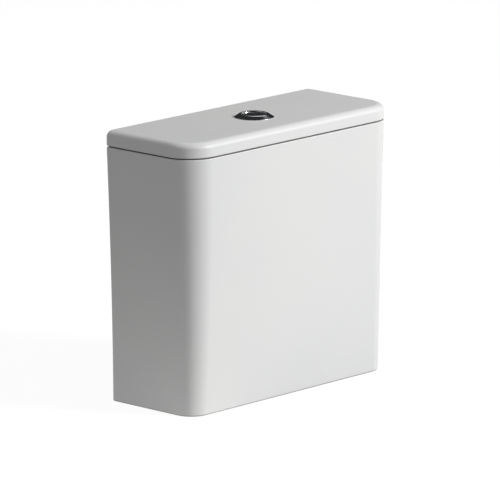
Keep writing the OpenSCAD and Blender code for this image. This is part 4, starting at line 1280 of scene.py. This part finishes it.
@dataclass
class Studio:
    """The pale floor, the lamps and the camera."""

    azimuth_deg: float = -47.162
    elevation_deg: float = 12.61
    distance: float = 7.686
    across: float = -3.58 * MM
    up: float = 170.76 * MM
    lens: float = 437.69
    sheet_half: float = 30.0
    floor_z: float = -0.3 * MM
    ambient: float = 0.27
    overhead: float = 0.14
    dark: float = 0.030
    horizon: Pair = (0.05, 0.11)
    walls: tuple[Glow, ...] = (
        Glow(Vector((0.40, -0.75, 0.53)), (0.84, 0.92), 0.95),
        Glow(Vector((0.77, -0.40, 0.50)), (0.78, 0.94), 0.45),
        Glow(Vector((0.56, 0.36, 0.74)), (0.955, 0.99), 1.00),
        Glow(Vector((-0.50, 0.75, 0.43)), (0.70, 0.97), 0.12),
    )
    # painted light: soft pools on the floor that glow for diffuse rays only, to light the tank's sides from
    # below
    patches: tuple[Glow, ...] = (
        Glow(Vector((-0.25, 0.05, 0)), (0.10, 0.30), 0.24),
        Glow(Vector((0, -0.50, 0)), (0.20, 0.70), 0.26),
    )
    key_way: Triple = (0.398, -0.749, 0.530)
    key_distance: float = 4.0
    key_size: Pair = (1.0, 0.8)
    key_power: float = 120.0
    bounce: float = 0.20
    shade: float = 0.15
    shine: float = 0.92
    clip: Pair = (0.1, 200.0)

    def build(self) -> None:
        """Builds the floor, the world, the lamp and the camera."""
        self.build_floor()
        self.build_world()
        self.build_key()
        self.build_camera()

    @staticmethod
    def ray(graph: Graph, kind: str) -> Wire:
        """A mask of the rays of one kind, such as camera, glossy or transmission."""
        return graph.node("ShaderNodeLightPath", output=f"Is {kind} Ray")

    def sky(self, graph: Graph) -> Wire:
        """What polished surfaces show: a white horizon under a dark ceiling, and some pale walls.

        Args:
            graph: The world's graph.

        Returns:
            The strength of the light from a direction.
        """
        way = graph.place("Generated")
        light = 1 - graph.height("Generated").rise(*self.horizon)
        for wall in self.walls:
            near = graph.node("ShaderNodeVectorMath", {"operation": "DOT_PRODUCT"},
                              {0: way, 1: wall.middle.normalized()}, "Value")
            light = light | near.rise(*wall.reach) * wall.level
        return light * (1 - self.dark) + self.dark

    def build_floor(self) -> None:
        """Lays the floor: pale for the light that it throws back, white where it is seen, and with pools of
        painted light that glow for diffuse rays only.
        """
        graph, material = Graph.of_material("pale_floor")
        plain, shade = [graph.node("ShaderNodeBsdfDiffuse", None, {"Color": (grey, grey, grey, 1)})
                        for grey in (self.bounce, self.shade)]
        glow = graph.node("ShaderNodeEmission", None, {"Color": (1, 1, 1, 1), "Strength": self.shine})
        seen = graph.node("ShaderNodeAddShader", None, {0: shade, 1: glow})
        # painted light: each patch makes a pool of the floor glow for diffuse rays, on top of the light that
        # it throws back
        for patch in self.patches:
            away = graph.node("ShaderNodeVectorMath", {"operation": "DISTANCE"},
                              {0: graph.place(), 1: patch.middle}, "Value")
            level = (1 - away.rise(*patch.reach)) * patch.level
            bounce = graph.node("ShaderNodeEmission", None, {"Color": (1, 1, 1, 1), "Strength": level})
            plain = graph.node("ShaderNodeAddShader", None, {0: plain, 1: bounce})
        shown = self.ray(graph, "Camera") | self.ray(graph, "Glossy") | self.ray(graph, "Transmission")
        both = graph.node("ShaderNodeMixShader", None, {0: shown, 1: plain, 2: seen})
        graph.node("ShaderNodeOutputMaterial", None, {"Surface": both})
        h, z = self.sheet_half, self.floor_z
        corners = [Vector((x, y, z)) for x, y in ((-h, -h), (h, -h), (h, h), (-h, h))]
        floor = Shop.piece("floor", corners, [(0, 1, 2, 3)])
        floor.data.materials.append(material)

    def build_world(self) -> None:
        """Surrounds the scene with soft light that is white where it is seen."""
        world = bpy.data.worlds.new("studio")
        bpy.context.scene.world = world
        world.use_nodes = True
        graph = Graph(world.node_tree)
        soft = graph.height("Generated") * self.overhead + self.ambient
        lit = self.ray(graph, "Glossy") * (self.sky(graph) - soft) + soft
        seen = self.ray(graph, "Camera") | self.ray(graph, "Transmission")
        strength = seen * (1 - lit) + lit
        light = graph.node("ShaderNodeBackground", None, {"Color": (1, 1, 1, 1), "Strength": strength})
        graph.node("ShaderNodeOutputWorld", None, {"Surface": light})

    def build_key(self) -> None:
        """Hangs one large soft lamp in front, to the right and above."""
        lamp = bpy.data.lights.new("key", "AREA")
        lamp.shape = "RECTANGLE"
        lamp.size, lamp.size_y = self.key_size
        lamp.energy = self.key_power
        way = Vector(self.key_way).normalized()
        self.aim(Shop.link("key", lamp), way * self.key_distance, -way)

    @staticmethod
    def aim(thing: Piece, place: Vector, way: Vector) -> None:
        """Puts a lamp or a camera at a place, facing a way."""
        thing.location = place
        thing.rotation_mode = "QUATERNION"
        thing.rotation_quaternion = way.to_track_quat("-Z", "Y")

    def build_camera(self) -> None:
        """Sets the camera at the photograph's angle."""
        turn, tilt = math.radians(self.azimuth_deg), math.radians(self.elevation_deg)
        back = Vector((math.sin(turn) * math.cos(tilt), -math.cos(turn) * math.cos(tilt), math.sin(tilt)))
        right = Vector((math.cos(turn), math.sin(turn), 0))
        upward = back.cross(right)
        data = bpy.data.cameras.new("camera")
        data.lens = self.lens
        data.clip_start, data.clip_end = self.clip
        camera = Shop.link("camera", data)
        self.aim(camera, back * self.distance + right * self.across + upward * self.up, -back)
        bpy.context.scene.camera = camera
        bpy.context.scene.view_settings.view_transform = "Standard"


def main() -> None:
    """Builds the cistern's looks."""
    logging.basicConfig(level=logging.INFO, format="%(name)s: %(message)s")
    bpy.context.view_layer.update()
    palette = Palette()
    buttons, valve, china = ButtonSet(palette), FlushValve(palette), China(palette)
    china.build_tank(valve.tail_r)
    china.build_lid(buttons.barrel_r + buttons.thread_gap * 2, buttons.centre)
    buttons.build()
    valve.build()
    FillValve(palette).build()
    Studio().build()


if __name__ == "__main__":
    main()
